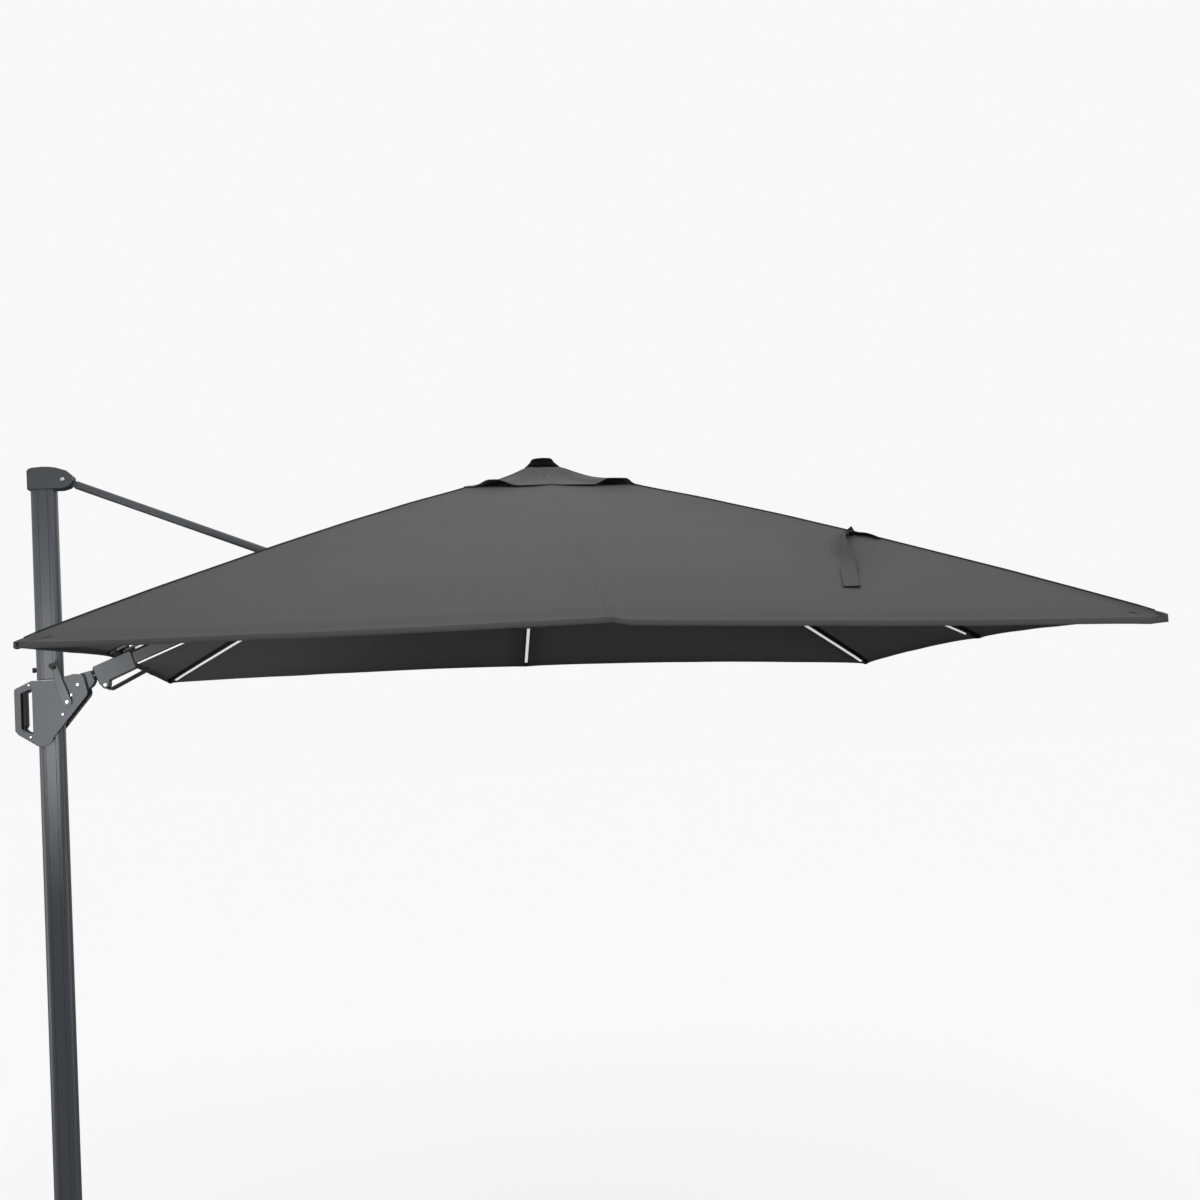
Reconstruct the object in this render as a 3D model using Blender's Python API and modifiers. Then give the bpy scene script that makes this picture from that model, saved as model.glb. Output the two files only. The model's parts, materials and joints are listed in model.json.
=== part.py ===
"""Cantilever parasol: a square canopy hung beside its mast on an arm and a strut.

Metres, +Z up.  The origin is on the floor under the mast's axis and +X runs from
the mast to the canopy.  The arm, the strut and the mast form a triangle in the
plane Y = 0: the strut hangs from the mast's head at STRUT_PIN, the arm stands on the
slider at ARM_PIN, and the two cross at ARM_JOINT.  Every canopy rib hinges on the hub
and is propped by a stretcher from the runner below it.
"""
import math

import bmesh
import bpy
from mathutils import Matrix, Vector

# ---------------------------------------------------------------- driving dimensions
GAP = 0.0003            # clearance between touching faces
TOTAL_HEIGHT = 2.700
MAST_SIZE = (0.084, 0.064)
MAST_CORNER = 0.022
MAST_WALL = 0.003

SLAB_SIZE = 0.500
SLAB_THICK = 0.050
CROSS_HALF = 0.520      # half the length of a base bar
CROSS_BAR = 0.040       # width of a base bar's upright
CROSS_FLANGE = 0.100    # width of a base bar's flat flange
CROSS_TOP = 0.060

STRUT_PIN = Vector((0.067, 0, 2.655))
ARM_PIN = Vector((0.095, 0, 1.9676))
ARM_RISE = math.radians(21.8)
ARM_AXIS_FOOT = Vector((0.095, 0, 1.9789))      # where the arm's centre line starts
ARM_JOINT_ALONG = 0.8837                        # arm joint, along the arm's centre line

HUB = Vector((1.675, 0, 2.612))                 # centre of the ribs' hinge circle
HUB_RADIUS = 0.060
RAIL_RADIUS = 0.103     # the twin rail over the arm hinges further out
RAIL_OFFSET = 0.066     # half the distance between the twin rails
APEX = Vector((1.675, 0, 2.657))                # where the canopy's ridges would meet
RUNNER_DROP = 0.5165
RUNNER_DROP_CLOSED = 1.2008
RIB_SIZE = (0.016, 0.022)
RAIL_SIZE = (0.014, 0.014)
RAIL_HINGE_BELOW = 0.013                        # the twin rail's hinge, below the ribs'
UNDER_CLOTH = {"corner": 0.017, "middle": 0.014, "left": 0.0125}
RIB_CLOSED = math.radians(2)                    # angle from vertical when closed
STRETCHER_THICK = 0.012
STRETCHER_PIN_BELOW = 0.022

CLOTH = 0.0012
CANOPY_CENTRE = 1.696
CANOPY_HALF = 1.500
TIPS = {                # the canopy's corners and the middles of its sides
    "right": Vector((CANOPY_CENTRE + CANOPY_HALF, 0, 1.968)),
    "back_right": Vector((CANOPY_CENTRE + CANOPY_HALF, CANOPY_HALF, 1.938)),
    "back": Vector((CANOPY_CENTRE, CANOPY_HALF, 2.0035)),
    "back_left": Vector((CANOPY_CENTRE - CANOPY_HALF, CANOPY_HALF, 2.012)),
    "left": Vector((CANOPY_CENTRE - CANOPY_HALF, 0, 2.057)),
    "front_left": Vector((CANOPY_CENTRE - CANOPY_HALF, -CANOPY_HALF, 2.012)),
    "front": Vector((CANOPY_CENTRE, -CANOPY_HALF, 2.0035)),
    "front_right": Vector((CANOPY_CENTRE + CANOPY_HALF, -CANOPY_HALF, 1.938)),
}
VENT_HALF = 0.285
OPENING_SHARE = 0.13    # size of the canopy's top opening, as a share of its half width

SLIDER_INNER = 0.0358   # half the distance between the slider's cheeks
SLIDER_CHEEK = 0.0160
CRANK_PIVOT = Vector((0.062, 0, 1.912))
CRANK_KNOB = Vector((0.022, 0, 2.031))

ALONG_Y = (math.radians(90), 0, 0)              # turns local Z to -Y, local Y to +Z
ARM_TURN = (0, -ARM_RISE, 0)

# ---------------------------------------------------------------- scene and helpers
for old in list(bpy.data.objects):
    bpy.data.objects.remove(old, do_unlink=True)

MODEL = bpy.data.collections.new("cantilever_parasol")
CUTTERS = bpy.data.collections.new("cutters")
bpy.context.scene.collection.children.link(MODEL)
bpy.context.scene.collection.children.link(CUTTERS)
ANCHORS = {}


def finish(name, colour, roughness, metallic):
    """A plain Principled material."""
    made = bpy.data.materials.new(name)
    made.use_nodes = True
    shader = made.node_tree.nodes["Principled BSDF"]
    shader.inputs["Base Color"].default_value = (*colour, 1)
    shader.inputs["Roughness"].default_value = roughness
    shader.inputs["Metallic"].default_value = metallic
    return made


COATED = finish("coated_aluminium", (0.068, 0.069, 0.072), 0.45, 0.3)
CASTING = finish("coated_casting", (0.050, 0.052, 0.054), 0.5, 0.2)
DARK = finish("dark_plastic", (0.012, 0.012, 0.013), 0.5, 0.0)
BRIGHT = finish("bright_steel", (0.55, 0.55, 0.56), 0.3, 1.0)
CANVAS = finish("canopy_cloth", (0.095, 0.095, 0.096), 0.9, 0.0)
STONE = finish("ballast_stone", (0.30, 0.30, 0.29), 0.85, 0.0)


def anchor(name, place, parent=None):
    """An empty on a joint's axis; its pieces are parented to it."""
    empty = bpy.data.objects.new(name, None)
    empty.empty_display_size = 0.05
    MODEL.objects.link(empty)
    origin = Vector(place)
    if parent:
        empty.parent = ANCHORS[parent][0]
        empty.location = origin - ANCHORS[parent][1]
    else:
        empty.location = origin
    ANCHORS[name] = (empty, origin)


def piece(name, mesh, material, body, place, turn=(0, 0, 0)):
    """Links a mesh as a named piece of a body, at a world place and turn."""
    mesh.name = name
    mesh.materials.clear()
    mesh.materials.append(material)
    mesh.shade_smooth()
    mesh.set_sharp_from_angle(angle=math.radians(32))
    made = bpy.data.objects.new(name, mesh)
    MODEL.objects.link(made)
    empty, origin = ANCHORS[body]
    made.parent = empty
    made.location = Vector(place) - origin
    made.rotation_euler = turn
    return made


def tool(mesh, place, turn=(0, 0, 0)):
    """A hidden object that a Boolean cuts or joins with."""
    made = bpy.data.objects.new("cutter", mesh)
    CUTTERS.objects.link(made)
    made.location = place
    made.rotation_euler = turn
    made.hide_render = True
    made.display_type = "WIRE"
    return made


def boolean(target, other, operation):
    step = target.modifiers.new(operation.lower(), "BOOLEAN")
    step.operation = operation
    step.solver = "EXACT"
    step.object = other


def cut(target, mesh, place, turn=(0, 0, 0)):
    boolean(target, tool(mesh, place, turn), "DIFFERENCE")


def join(target, mesh, place, turn=(0, 0, 0)):
    boolean(target, tool(mesh, place, turn), "UNION")


def soften(target, width, segments=2):
    step = target.modifiers.new("rounded edges", "BEVEL")
    step.width = width
    step.segments = segments
    step.limit_method = "ANGLE"
    step.angle_limit = math.radians(40)


def to_mesh(build):
    """Runs a bmesh builder and returns its mesh."""
    mesh = bpy.data.meshes.new("mesh")
    shape = bmesh.new()
    build(shape)
    shape.to_mesh(mesh)
    shape.free()
    return mesh


def box(size, centre=(0, 0, 0)):
    matrix = Matrix.Translation(centre) @ Matrix.Diagonal((*size, 1))
    return to_mesh(lambda shape: bmesh.ops.create_cube(shape, size=1, matrix=matrix))


def box_between(low, high):
    size = [b - a for a, b in zip(low, high)]
    return box(size, [(a + b) / 2 for a, b in zip(low, high)])


def cone(radius_low, radius_high, length, matrix=Matrix(), segments=24):
    """A cylinder or cone along local Z, centred."""
    return to_mesh(lambda shape: bmesh.ops.create_cone(
        shape, cap_ends=True, segments=segments, radius1=radius_low,
        radius2=radius_high, depth=length, matrix=matrix))


def rod(radius, length, segments=24):
    return cone(radius, radius, length, segments=segments)


LIE_X = Matrix.Rotation(math.radians(90), 4, "Y")
LIE_Y = Matrix.Rotation(math.radians(90), 4, "X")


def rounded(width, depth, corner, steps=3):
    """Outline of a rectangle with round corners, anticlockwise."""
    points = []
    for quarter, (sx, sy) in enumerate(((1, 1), (-1, 1), (-1, -1), (1, -1))):
        centre = Vector((sx * (width / 2 - corner), sy * (depth / 2 - corner)))
        for step in range(steps + 1):
            turn = math.radians(90) * (quarter + step / steps)
            points.append(centre + corner * Vector((math.cos(turn), math.sin(turn))))
    return points


def arc(centre, radius, start, end, steps=8):
    """Points along an arc, angles in degrees."""
    turns = [math.radians(start + (end - start) * k / steps) for k in range(steps + 1)]
    return [Vector((centre[0] + radius * math.cos(t), centre[1] + radius * math.sin(t)))
            for t in turns]


def plate(loops, thickness):
    """A flat outline, with any holes, as a solid centred on local Z = 0."""
    curve = bpy.data.curves.new("outline", "CURVE")
    curve.dimensions = "2D"
    curve.fill_mode = "BOTH"
    curve.extrude = thickness / 2
    for loop in loops:
        spline = curve.splines.new("POLY")
        spline.points.add(len(loop) - 1)
        for point, corner in zip(spline.points, loop):
            point.co = (corner[0], corner[1], 0, 1)
        spline.use_cyclic_u = True
    guide = bpy.data.objects.new("outline", curve)
    MODEL.objects.link(guide)
    return welded(guide)


def welded(guide):
    """Turns a curve object into a closed mesh and removes the curve."""
    graph = bpy.context.evaluated_depsgraph_get()
    mesh = bpy.data.meshes.new_from_object(guide.evaluated_get(graph))
    shape = bmesh.new()
    shape.from_mesh(mesh)
    bmesh.ops.remove_doubles(shape, verts=shape.verts, dist=0.00001)
    bmesh.ops.recalc_face_normals(shape, faces=shape.faces)
    shape.to_mesh(mesh)
    shape.free()
    bpy.data.objects.remove(guide, do_unlink=True)
    return mesh


def tube(width, depth, corner, wall, length):
    """A hollow rounded tube along local Z, centred."""
    inner = rounded(width - 2 * wall, depth - 2 * wall, corner - wall)
    return plate([rounded(width, depth, corner), inner], length)


def wire(points, radius):
    """A round bar bent along a list of points."""
    curve = bpy.data.curves.new("wire", "CURVE")
    curve.dimensions = "3D"
    curve.bevel_depth = radius
    curve.bevel_resolution = 3
    curve.use_fill_caps = True
    spline = curve.splines.new("POLY")
    spline.points.add(len(points) - 1)
    for point, place in zip(spline.points, points):
        point.co = (*place, 1)
    guide = bpy.data.objects.new("wire", curve)
    MODEL.objects.link(guide)
    return welded(guide)


def together(parts):
    """One mesh holding several, each moved by its matrix."""
    shape = bmesh.new()
    for mesh, matrix in parts:
        moved = mesh.copy()
        moved.transform(matrix)
        shape.from_mesh(moved)
    mesh = bpy.data.meshes.new("group")
    shape.to_mesh(mesh)
    shape.free()
    return mesh


def along_arm(along, above=0.0, aside=0.0):
    """World place of a point given along the arm's centre line."""
    ahead = Vector((math.cos(ARM_RISE), 0, math.sin(ARM_RISE)))
    up = Vector((-math.sin(ARM_RISE), 0, math.cos(ARM_RISE)))
    return ARM_AXIS_FOOT + along * ahead + above * up + Vector((0, aside, 0))


ARM_JOINT = along_arm(ARM_JOINT_ALONG)
STRUT_LENGTH = (ARM_JOINT - STRUT_PIN).length
STRUT_FALL = math.atan2(STRUT_PIN.z - ARM_JOINT.z, ARM_JOINT.x - STRUT_PIN.x)
STRUT_TURN = (0, STRUT_FALL, 0)
RUNNER = HUB - Vector((0, 0, RUNNER_DROP))


# ---------------------------------------------------------------- joints' anchors
def make_anchors():
    anchor("base", (0, 0, 0))
    anchor("pedal_axis", (0, -0.088, 0.125), "base")
    anchor("mast_axis", (0, 0, 0.19), "base")
    anchor("strut_axis", STRUT_PIN, "mast_axis")
    anchor("fold_axis", ARM_JOINT, "strut_axis")
    anchor("slider_axis", ARM_PIN, "fold_axis")
    anchor("trigger_axis", (-0.0835, 0, 1.895), "slider_axis")
    anchor("crank_axis", CRANK_PIVOT, "slider_axis")
    anchor("knob_axis", CRANK_KNOB, "crank_axis")
    anchor("tilt_axis", along_arm(0.10), "fold_axis")


# ---------------------------------------------------------------- base
def cross_outline(half_length, half_width):
    """A cross whose arms taper a little towards their ends."""
    a, b, c = half_length, half_width, half_width * 0.98
    return [(a, c), (b, b), (c, a), (-c, a), (-b, b), (-a, c),
            (-a, -c), (-b, -b), (-c, -a), (c, -a), (b, -b), (a, -c)]


def make_base():
    flange = 0.006
    frame = piece("cross_frame", plate([cross_outline(CROSS_HALF, CROSS_FLANGE / 2)], flange),
                  CASTING, "base", (0, 0, flange / 2))
    upright = CROSS_TOP - flange / 2
    join(frame, plate([cross_outline(CROSS_HALF - 0.002, CROSS_BAR / 2)], upright),
         (0, 0, CROSS_TOP - upright / 2))

    offset = CROSS_BAR / 2 + 0.0008 + SLAB_SIZE / 2
    for name, sx, sy in (("front_right", 1, -1), ("back_right", 1, 1),
                         ("back_left", -1, 1), ("front_left", -1, -1)):
        slab = piece("ballast_slab_" + name, box((SLAB_SIZE, SLAB_SIZE, SLAB_THICK)), STONE,
                     "base", (sx * offset, sy * offset, flange + GAP + SLAB_THICK / 2))
        soften(slab, 0.004, 1)

    housing = piece("foot_housing", cone(0.098, 0.082, 0.105, segments=48), CASTING,
                    "base", (0, 0, CROSS_TOP + GAP + 0.0605))
    join(housing, plate([rounded(0.23, 0.23, 0.02)], 0.010), (0, 0, CROSS_TOP + GAP + 0.005))
    cut(housing, rod(0.0415, 0.10, 48), (0, 0, 0.1235))
    cut(housing, box((0.034, 0.070, 0.050)), (0, -0.099, 0.125))
    ears = together([(box((0.008, 0.034, 0.040)), Matrix.Translation((side * 0.0215, 0, 0)))
                     for side in (-1, 1)])
    join(housing, ears, (0, -0.090, 0.125))
    cut(housing, rod(0.0045, 0.060, 16), (0, -0.088, 0.125), (0, math.radians(90), 0))

    outline = [(-0.020, -0.010), (-0.020, 0.008), (0.060, -0.004), (0.110, -0.014),
               (0.114, -0.022), (0.106, -0.026), (0.050, -0.016)]
    pedal = piece("pedal", plate([outline], 0.032), DARK, "pedal_axis", (0, -0.088, 0.125),
                  (math.radians(90), 0, math.radians(-90)))
    soften(pedal, 0.002, 1)
    cut(pedal, rod(0.0044, 0.060, 16), (0, -0.088, 0.125), (0, math.radians(90), 0))
    piece("pedal_pin", cone(0.004, 0.004, 0.056, LIE_X, 16), BRIGHT, "base",
          (0, -0.088, 0.125))


# ---------------------------------------------------------------- mast
def make_mast():
    flange_low = 0.1738 + GAP
    foot = piece("mast_foot", rod(0.078, 0.016, 48), CASTING, "mast_axis",
                 (0, 0, flange_low + 0.008))
    join(foot, rod(0.0400, 0.080, 48), (0, 0, flange_low - 0.030))
    socket_top = 0.275
    socket = plate([rounded(0.104, 0.084, 0.030)], 0.090)
    join(foot, socket, (0, 0, socket_top - 0.045))
    mast_low = 0.196
    pocket = plate([rounded(MAST_SIZE[0] + 0.001, MAST_SIZE[1] + 0.001, MAST_CORNER)], 0.2)
    cut(foot, pocket, (0, 0, mast_low + 0.1))

    mast_low += GAP
    cap_low = STRUT_PIN.z - 0.030
    length = cap_low - GAP - mast_low
    piece("mast_tube", tube(*MAST_SIZE, MAST_CORNER, MAST_WALL, length), COATED,
          "mast_axis", (0, 0, mast_low + length / 2))

    top = TOTAL_HEIGHT
    outline = [(-0.049, cap_low), (0.060, cap_low), (0.082, 2.631), (0.095, 2.640),
               (0.1005, 2.653), (0.098, 2.668), (0.080, 2.684), (0.046, 2.6955),
               (0.022, top - 0.0008), (0.000, top), (-0.030, top - 0.002),
               (-0.042, top - 0.005), (-0.049, top - 0.012)]
    cap = piece("mast_cap", plate([outline], 0.072), CASTING, "mast_axis", (0, 0, 0), ALONG_Y)
    soften(cap, 0.004)
    cut(cap, box((0.080, 0.0260, 0.100)), (0.0865, 0, 2.655))
    cut(cap, rod(0.0049, 0.080, 20), STRUT_PIN, ALONG_Y)
    piece("cap_pin", cone(0.0045, 0.0045, 0.075, LIE_Y, 20), BRIGHT, "mast_axis", STRUT_PIN)

    piece("mast_stop", cone(0.009, 0.0075, 0.014, LIE_X, 20), DARK, "mast_axis",
          (-MAST_SIZE[0] / 2 - GAP - 0.007, 0, 2.024))


# ---------------------------------------------------------------- strut
def make_strut():
    tongue = (arc((0, 0), 0.013, 60, 300, 10)
              + [(0.030, -0.0095), (0.095, -0.0095), (0.095, 0.0095), (0.030, 0.0095)])
    eye = piece("strut_eye", plate([tongue], 0.022), CASTING, "strut_axis", STRUT_PIN,
                (math.radians(90), STRUT_FALL, 0))
    cut(eye, rod(0.0049, 0.060, 20), STRUT_PIN, ALONG_Y)

    def along_strut(distance):
        return STRUT_PIN.lerp(ARM_JOINT, distance / STRUT_LENGTH)

    bridge = STRUT_LENGTH - 0.098
    start = 0.042
    stick = tube(0.026, 0.030, 0.007, 0.002, bridge - GAP - start)
    stick.transform(LIE_X)
    piece("strut_tube", stick, COATED, "strut_axis",
          along_strut((start + bridge - GAP) / 2), STRUT_TURN)

    fork = piece("strut_fork", box((0.026, 0.091, 0.026)), CASTING, "strut_axis",
                 along_strut(bridge + 0.013), STRUT_TURN)
    join(fork, box((0.080, 0.0220, 0.0180)), along_strut(bridge - 0.030), STRUT_TURN)
    cheek_outline = arc((0, 0), 0.018, -90, 90) + [(-0.090, 0.0128), (-0.090, -0.0128)]
    for side in (-1, 1):
        join(fork, plate([cheek_outline], 0.006), ARM_JOINT + Vector((0, side * 0.0425, 0)),
             (math.radians(90), STRUT_FALL, 0))
    cut(fork, rod(0.0074, 0.120, 24), ARM_JOINT, ALONG_Y)


# ---------------------------------------------------------------- arm's foot and collar
def make_arm_foot():
    pin = (-0.0042, -0.0105)                    # the arm's pin, in the arm's own frame
    outline = (arc(pin, 0.027, 75, 285, 12)
               + [(0.024, -0.034), (0.036, -0.030), (0.0485, -0.019),
                  (0.0485, 0.017), (0.030, 0.020), (0.014, 0.022)])
    knuckle = piece("arm_knuckle", plate([outline], 0.054), CASTING, "fold_axis",
                    ARM_AXIS_FOOT, (math.radians(90), -ARM_RISE, 0))
    soften(knuckle, 0.003)
    cut(knuckle, rod(0.0054, 0.080, 24), ARM_PIN, ALONG_Y)

    start = 0.0485 + GAP
    spigot = piece("tilt_spigot", cone(0.0165, 0.0165, 0.128 - start, LIE_X), BRIGHT,
                   "fold_axis", along_arm((start + 0.128) / 2), ARM_TURN)
    join(spigot, cone(0.0190, 0.0190, 0.005, LIE_X), along_arm(start + 0.0025), ARM_TURN)

    collar = piece("strut_collar", cone(0.035, 0.035, 0.048, LIE_X, 40), CASTING, "fold_axis",
                   ARM_JOINT, ARM_TURN)
    join(collar, rod(0.007, 0.093, 24), ARM_JOINT, ALONG_Y)
    cut(collar, cone(0.0305, 0.0305, 0.080, LIE_X, 40), ARM_JOINT, ARM_TURN)


# ---------------------------------------------------------------- slider
def slider_outline():
    """The slider's cheek, in X and Z, with its hand hole."""
    outer = [(-0.1085, 1.957), (-0.106, 1.963), (-0.052, 1.988), (0.036, 1.988),
             (0.054, 1.9965), (0.082, 2.0035), (0.108, 2.002), (0.116, 1.990),
             (0.1265, 1.941), (0.1225, 1.930), (0.012, 1.797)]
    outer += arc((-0.026, 1.818), 0.0475, -35, -105, 6)
    outer += [(-0.100, 1.8130), (-0.1085, 1.825)]
    hole = [(-0.0880, 1.948), (-0.0880, 1.832), (-0.0800, 1.8230), (-0.0515, 1.8130),
            (-0.0515, 1.962)]
    return outer, hole


def make_slider():
    outer, hole = slider_outline()
    for name, side in (("slider_shell_front", -1), ("slider_shell_back", 1)):
        shell = piece(name, plate([outer, hole], SLIDER_CHEEK), CASTING, "slider_axis",
                      (0, side * (SLIDER_INNER + SLIDER_CHEEK / 2), 0), ALONG_Y)
        soften(shell, 0.0035)
        cut(shell, rod(0.0054, 0.060, 24), ARM_PIN + Vector((0, side * 0.045, 0)), ALONG_Y)
        cut(shell, rod(0.0054, 0.060, 24), CRANK_PIVOT + Vector((0, side * 0.045, 0)), ALONG_Y)

    liner_low, liner_high = 1.842, 1.984
    clear = 0.0012
    outer_width = 2 * (SLIDER_INNER - GAP)
    liner = piece("slider_liner", box((0.094, outer_width, liner_high - liner_low)), DARK,
                  "slider_axis", (0, 0, (liner_low + liner_high) / 2))
    hole_mesh = plate([rounded(MAST_SIZE[0] + 2 * clear, MAST_SIZE[1] + 2 * clear,
                               MAST_CORNER)], 0.3)
    cut(liner, hole_mesh, (0, 0, (liner_low + liner_high) / 2))

    grip = piece("slider_grip", box_between((-0.1045, -SLIDER_INNER + GAP, 1.832),
                                            (-0.0915, SLIDER_INNER - GAP, 1.952)),
                 DARK, "slider_axis", (0, 0, 0))
    soften(grip, 0.003)
    cut(grip, box_between((-0.0990, -0.0250, 1.800), (-0.0800, 0.0250, 1.980)), (0, 0, 0))

    outline = [(-0.0905, 1.952), (-0.0905, 1.840), (-0.0835, 1.831), (-0.0765, 1.842),
               (-0.0765, 1.956), (-0.0835, 1.959)]
    trigger = piece("latch_trigger", plate([outline], 0.048), DARK, "trigger_axis",
                    (0, 0, 0), ALONG_Y)
    soften(trigger, 0.0015, 1)

    piece("arm_pin", cone(0.005, 0.005, 0.108, LIE_Y, 24), BRIGHT, "slider_axis", ARM_PIN)
    for name, place in (("slider_bolt_upper", (0.0745, 0, 1.9353)),
                        ("slider_bolt_lower", (0.0446, 0, 1.8726))):
        side = Vector((0, -SLIDER_INNER - SLIDER_CHEEK - GAP - 0.0015, 0))
        piece(name, cone(0.0048, 0.0040, 0.003, LIE_Y, 20), BRIGHT, "slider_axis",
              Vector(place) + side)


def make_crank():
    face = -SLIDER_INNER - SLIDER_CHEEK
    winch = piece("winch_drum", rod(0.0050, 0.0970, 24), BRIGHT, "crank_axis",
                  CRANK_PIVOT + Vector((0, -0.0210, 0)), ALONG_Y)
    join(winch, rod(0.0085, 0.0560, 24), CRANK_PIVOT, ALONG_Y)
    for side in (-1, 1):
        join(winch, rod(0.0125, 0.0040, 32), CRANK_PIVOT + Vector((0, side * 0.028, 0)), ALONG_Y)

    reach = (CRANK_KNOB - CRANK_PIVOT).length
    lean = math.atan2(CRANK_KNOB.z - CRANK_PIVOT.z, CRANK_KNOB.x - CRANK_PIVOT.x)
    outline = arc((0, 0), 0.0145, 80, 280, 12) + arc((reach, 0), 0.0100, -80, 80, 8)
    crank = piece("crank_arm", plate([outline], 0.0100), DARK, "crank_axis",
                  CRANK_PIVOT + Vector((0, face - 0.0115, 0)), (math.radians(90), -lean, 0))
    soften(crank, 0.0025)
    cut(crank, rod(0.0054, 0.060, 24), CRANK_PIVOT + Vector((0, face, 0)), ALONG_Y)
    join(crank, rod(0.0035, 0.0300, 16), CRANK_KNOB + Vector((0, face - 0.0270, 0)), ALONG_Y)

    knob = piece("crank_knob", cone(0.0105, 0.0085, 0.034, LIE_Y, 28), DARK, "knob_axis",
                 CRANK_KNOB + Vector((0, face - 0.0165 - GAP - 0.0170, 0)))
    cut(knob, rod(0.0040, 0.0300, 16), CRANK_KNOB + Vector((0, face - 0.0310, 0)), ALONG_Y)


# ---------------------------------------------------------------- arm and hub
ARM_TUBE = (0.034, 0.043)
ARM_TUBE_START = 0.1300
ARM_TUBE_END = 1.5640


def make_arm():
    outline = [(0.0570, -0.0360), (0.0640, -0.0560), (0.0745, -0.0600), (0.0840, -0.0560),
               (0.0930, -0.0380), (0.1880, -0.0360), (0.1920, 0.0200), (0.1880, 0.0255),
               (0.0610, 0.0255), (0.0570, 0.0215)]
    sleeve = piece("tilt_sleeve", plate([outline], 0.054), CASTING, "tilt_axis",
                   ARM_AXIS_FOOT, (math.radians(90), -ARM_RISE, 0))
    soften(sleeve, 0.003)
    cut(sleeve, cone(0.0172, 0.0172, 0.200, LIE_X), along_arm(0.10), ARM_TURN)
    seat = box((0.20, ARM_TUBE[0] + 0.0008, ARM_TUBE[1] + 0.0008))
    cut(sleeve, seat, along_arm(ARM_TUBE_START - GAP + 0.10), ARM_TURN)
    cut(sleeve, rod(0.0050, 0.080, 20), along_arm(0.0735, -0.0465), ALONG_Y)
    piece("tilt_bolt", cone(0.0046, 0.0046, 0.0590, LIE_Y, 20), BRIGHT, "tilt_axis",
          along_arm(0.0735, -0.0465))

    leg, near, far = 0.0318, (0.0800, -0.0640), (0.2220, -0.0560)
    corner = 0.012
    path = [(near[0] - 0.005, -leg, near[1] + 0.008), (near[0], -leg, near[1] - 0.001),
            (near[0] + 0.008, -leg, near[1] - 0.002)]
    for turn in range(5):
        sweep = math.radians(90 * turn / 4)
        path.append((far[0] - corner + corner * math.sin(sweep),
                     -leg + corner - corner * math.cos(sweep), far[1]))
    path += [(x, -y, z) for x, y, z in reversed(path)]
    piece("tilt_bar", wire(path, 0.0040), DARK, "tilt_axis", ARM_AXIS_FOOT, ARM_TURN)

    length = ARM_TUBE_END - ARM_TUBE_START
    stick = tube(ARM_TUBE[1], ARM_TUBE[0], 0.006, 0.002, length)
    stick.transform(LIE_X)
    piece("arm_tube", stick, COATED, "tilt_axis",
          along_arm(ARM_TUBE_START + length / 2), ARM_TURN)


def make_hub():
    plug, shoulder, end = 1.468, ARM_TUBE_END + GAP, 1.700
    bracket = piece("hub_bracket", box((end - shoulder, 0.032, 0.040)), CASTING, "tilt_axis",
                    along_arm((shoulder + end) / 2), ARM_TURN)
    join(bracket, box((0.150, 0.0250, 0.0340)), along_arm(plug + 0.075), ARM_TURN)
    hinge = Vector((HUB.x - RAIL_RADIUS, 0, HUB.z - RAIL_HINGE_BELOW))
    join(bracket, box((0.024, 0.110, 0.034)), hinge - Vector((0, 0, 0.008)))
    cut(bracket, rod(0.0685, 0.080, 64), HUB)
    cut(bracket, rod(0.0043, 0.170, 20), hinge, ALONG_Y)
    piece("rail_pin", cone(0.0040, 0.0040, 0.150, LIE_Y, 20), BRIGHT, "tilt_axis", hinge)

    hub = piece("canopy_hub", rod(0.0680, 0.0280, 64), CASTING, "tilt_axis",
                HUB - Vector((0, 0, 0.002)))
    slots, pins = [], []
    for name, azimuth in azimuths().items():
        if name == "left":
            continue
        spin = Matrix.Rotation(azimuth, 4, "Z")
        slots.append((box((0.040, 0.0172, 0.080)), spin @ Matrix.Translation((0.067, 0, 0))))
        pins.append((cone(0.0025, 0.0025, 0.0230, LIE_Y, 12),
                     spin @ Matrix.Translation((HUB_RADIUS, 0, 0))))
    cut(hub, together(slots), HUB)
    join(hub, together(pins), HUB)

    stem_low = HUB.z + 0.012 + GAP
    base = 2.6395
    finial = piece("finial", cone(0.0560, 0.0335, 0.0335, segments=48), DARK, "tilt_axis",
                   (HUB.x, 0, base + 0.01675))
    join(finial, rod(0.0060, base + 0.005 - stem_low, 20),
         (HUB.x, 0, (base + 0.005 + stem_low) / 2))


# ---------------------------------------------------------------- ribs and stretchers
def azimuths():
    return {name: math.atan2(tip.y, tip.x - HUB.x) for name, tip in TIPS.items()}


def rib_angle(name):
    """Angle of a rib from straight down, and its length, with the canopy open."""
    tip = TIPS[name]
    kind = "left" if name == "left" else "corner" if "_" in name else "middle"
    start, hinge_height = hinge_of(name)
    across = math.hypot(tip.x - HUB.x, tip.y) - start
    drop = hinge_height - (tip.z - UNDER_CLOTH[kind])
    return math.atan2(across, drop), math.hypot(across, drop)


def hinge_of(name):
    """A rib's hinge on the hub: distance from the hub's axis, and height."""
    if name == "left":
        return RAIL_RADIUS, HUB.z - RAIL_HINGE_BELOW
    return HUB_RADIUS, HUB.z


def prop_pin(angle, reach):
    """The stretcher's pin in the rib's own plane: outwards and up from the rib's hinge."""
    below = STRETCHER_PIN_BELOW
    return Vector((reach * math.sin(angle) - below * math.cos(angle),
                   -reach * math.cos(angle) - below * math.sin(angle)))


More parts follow.
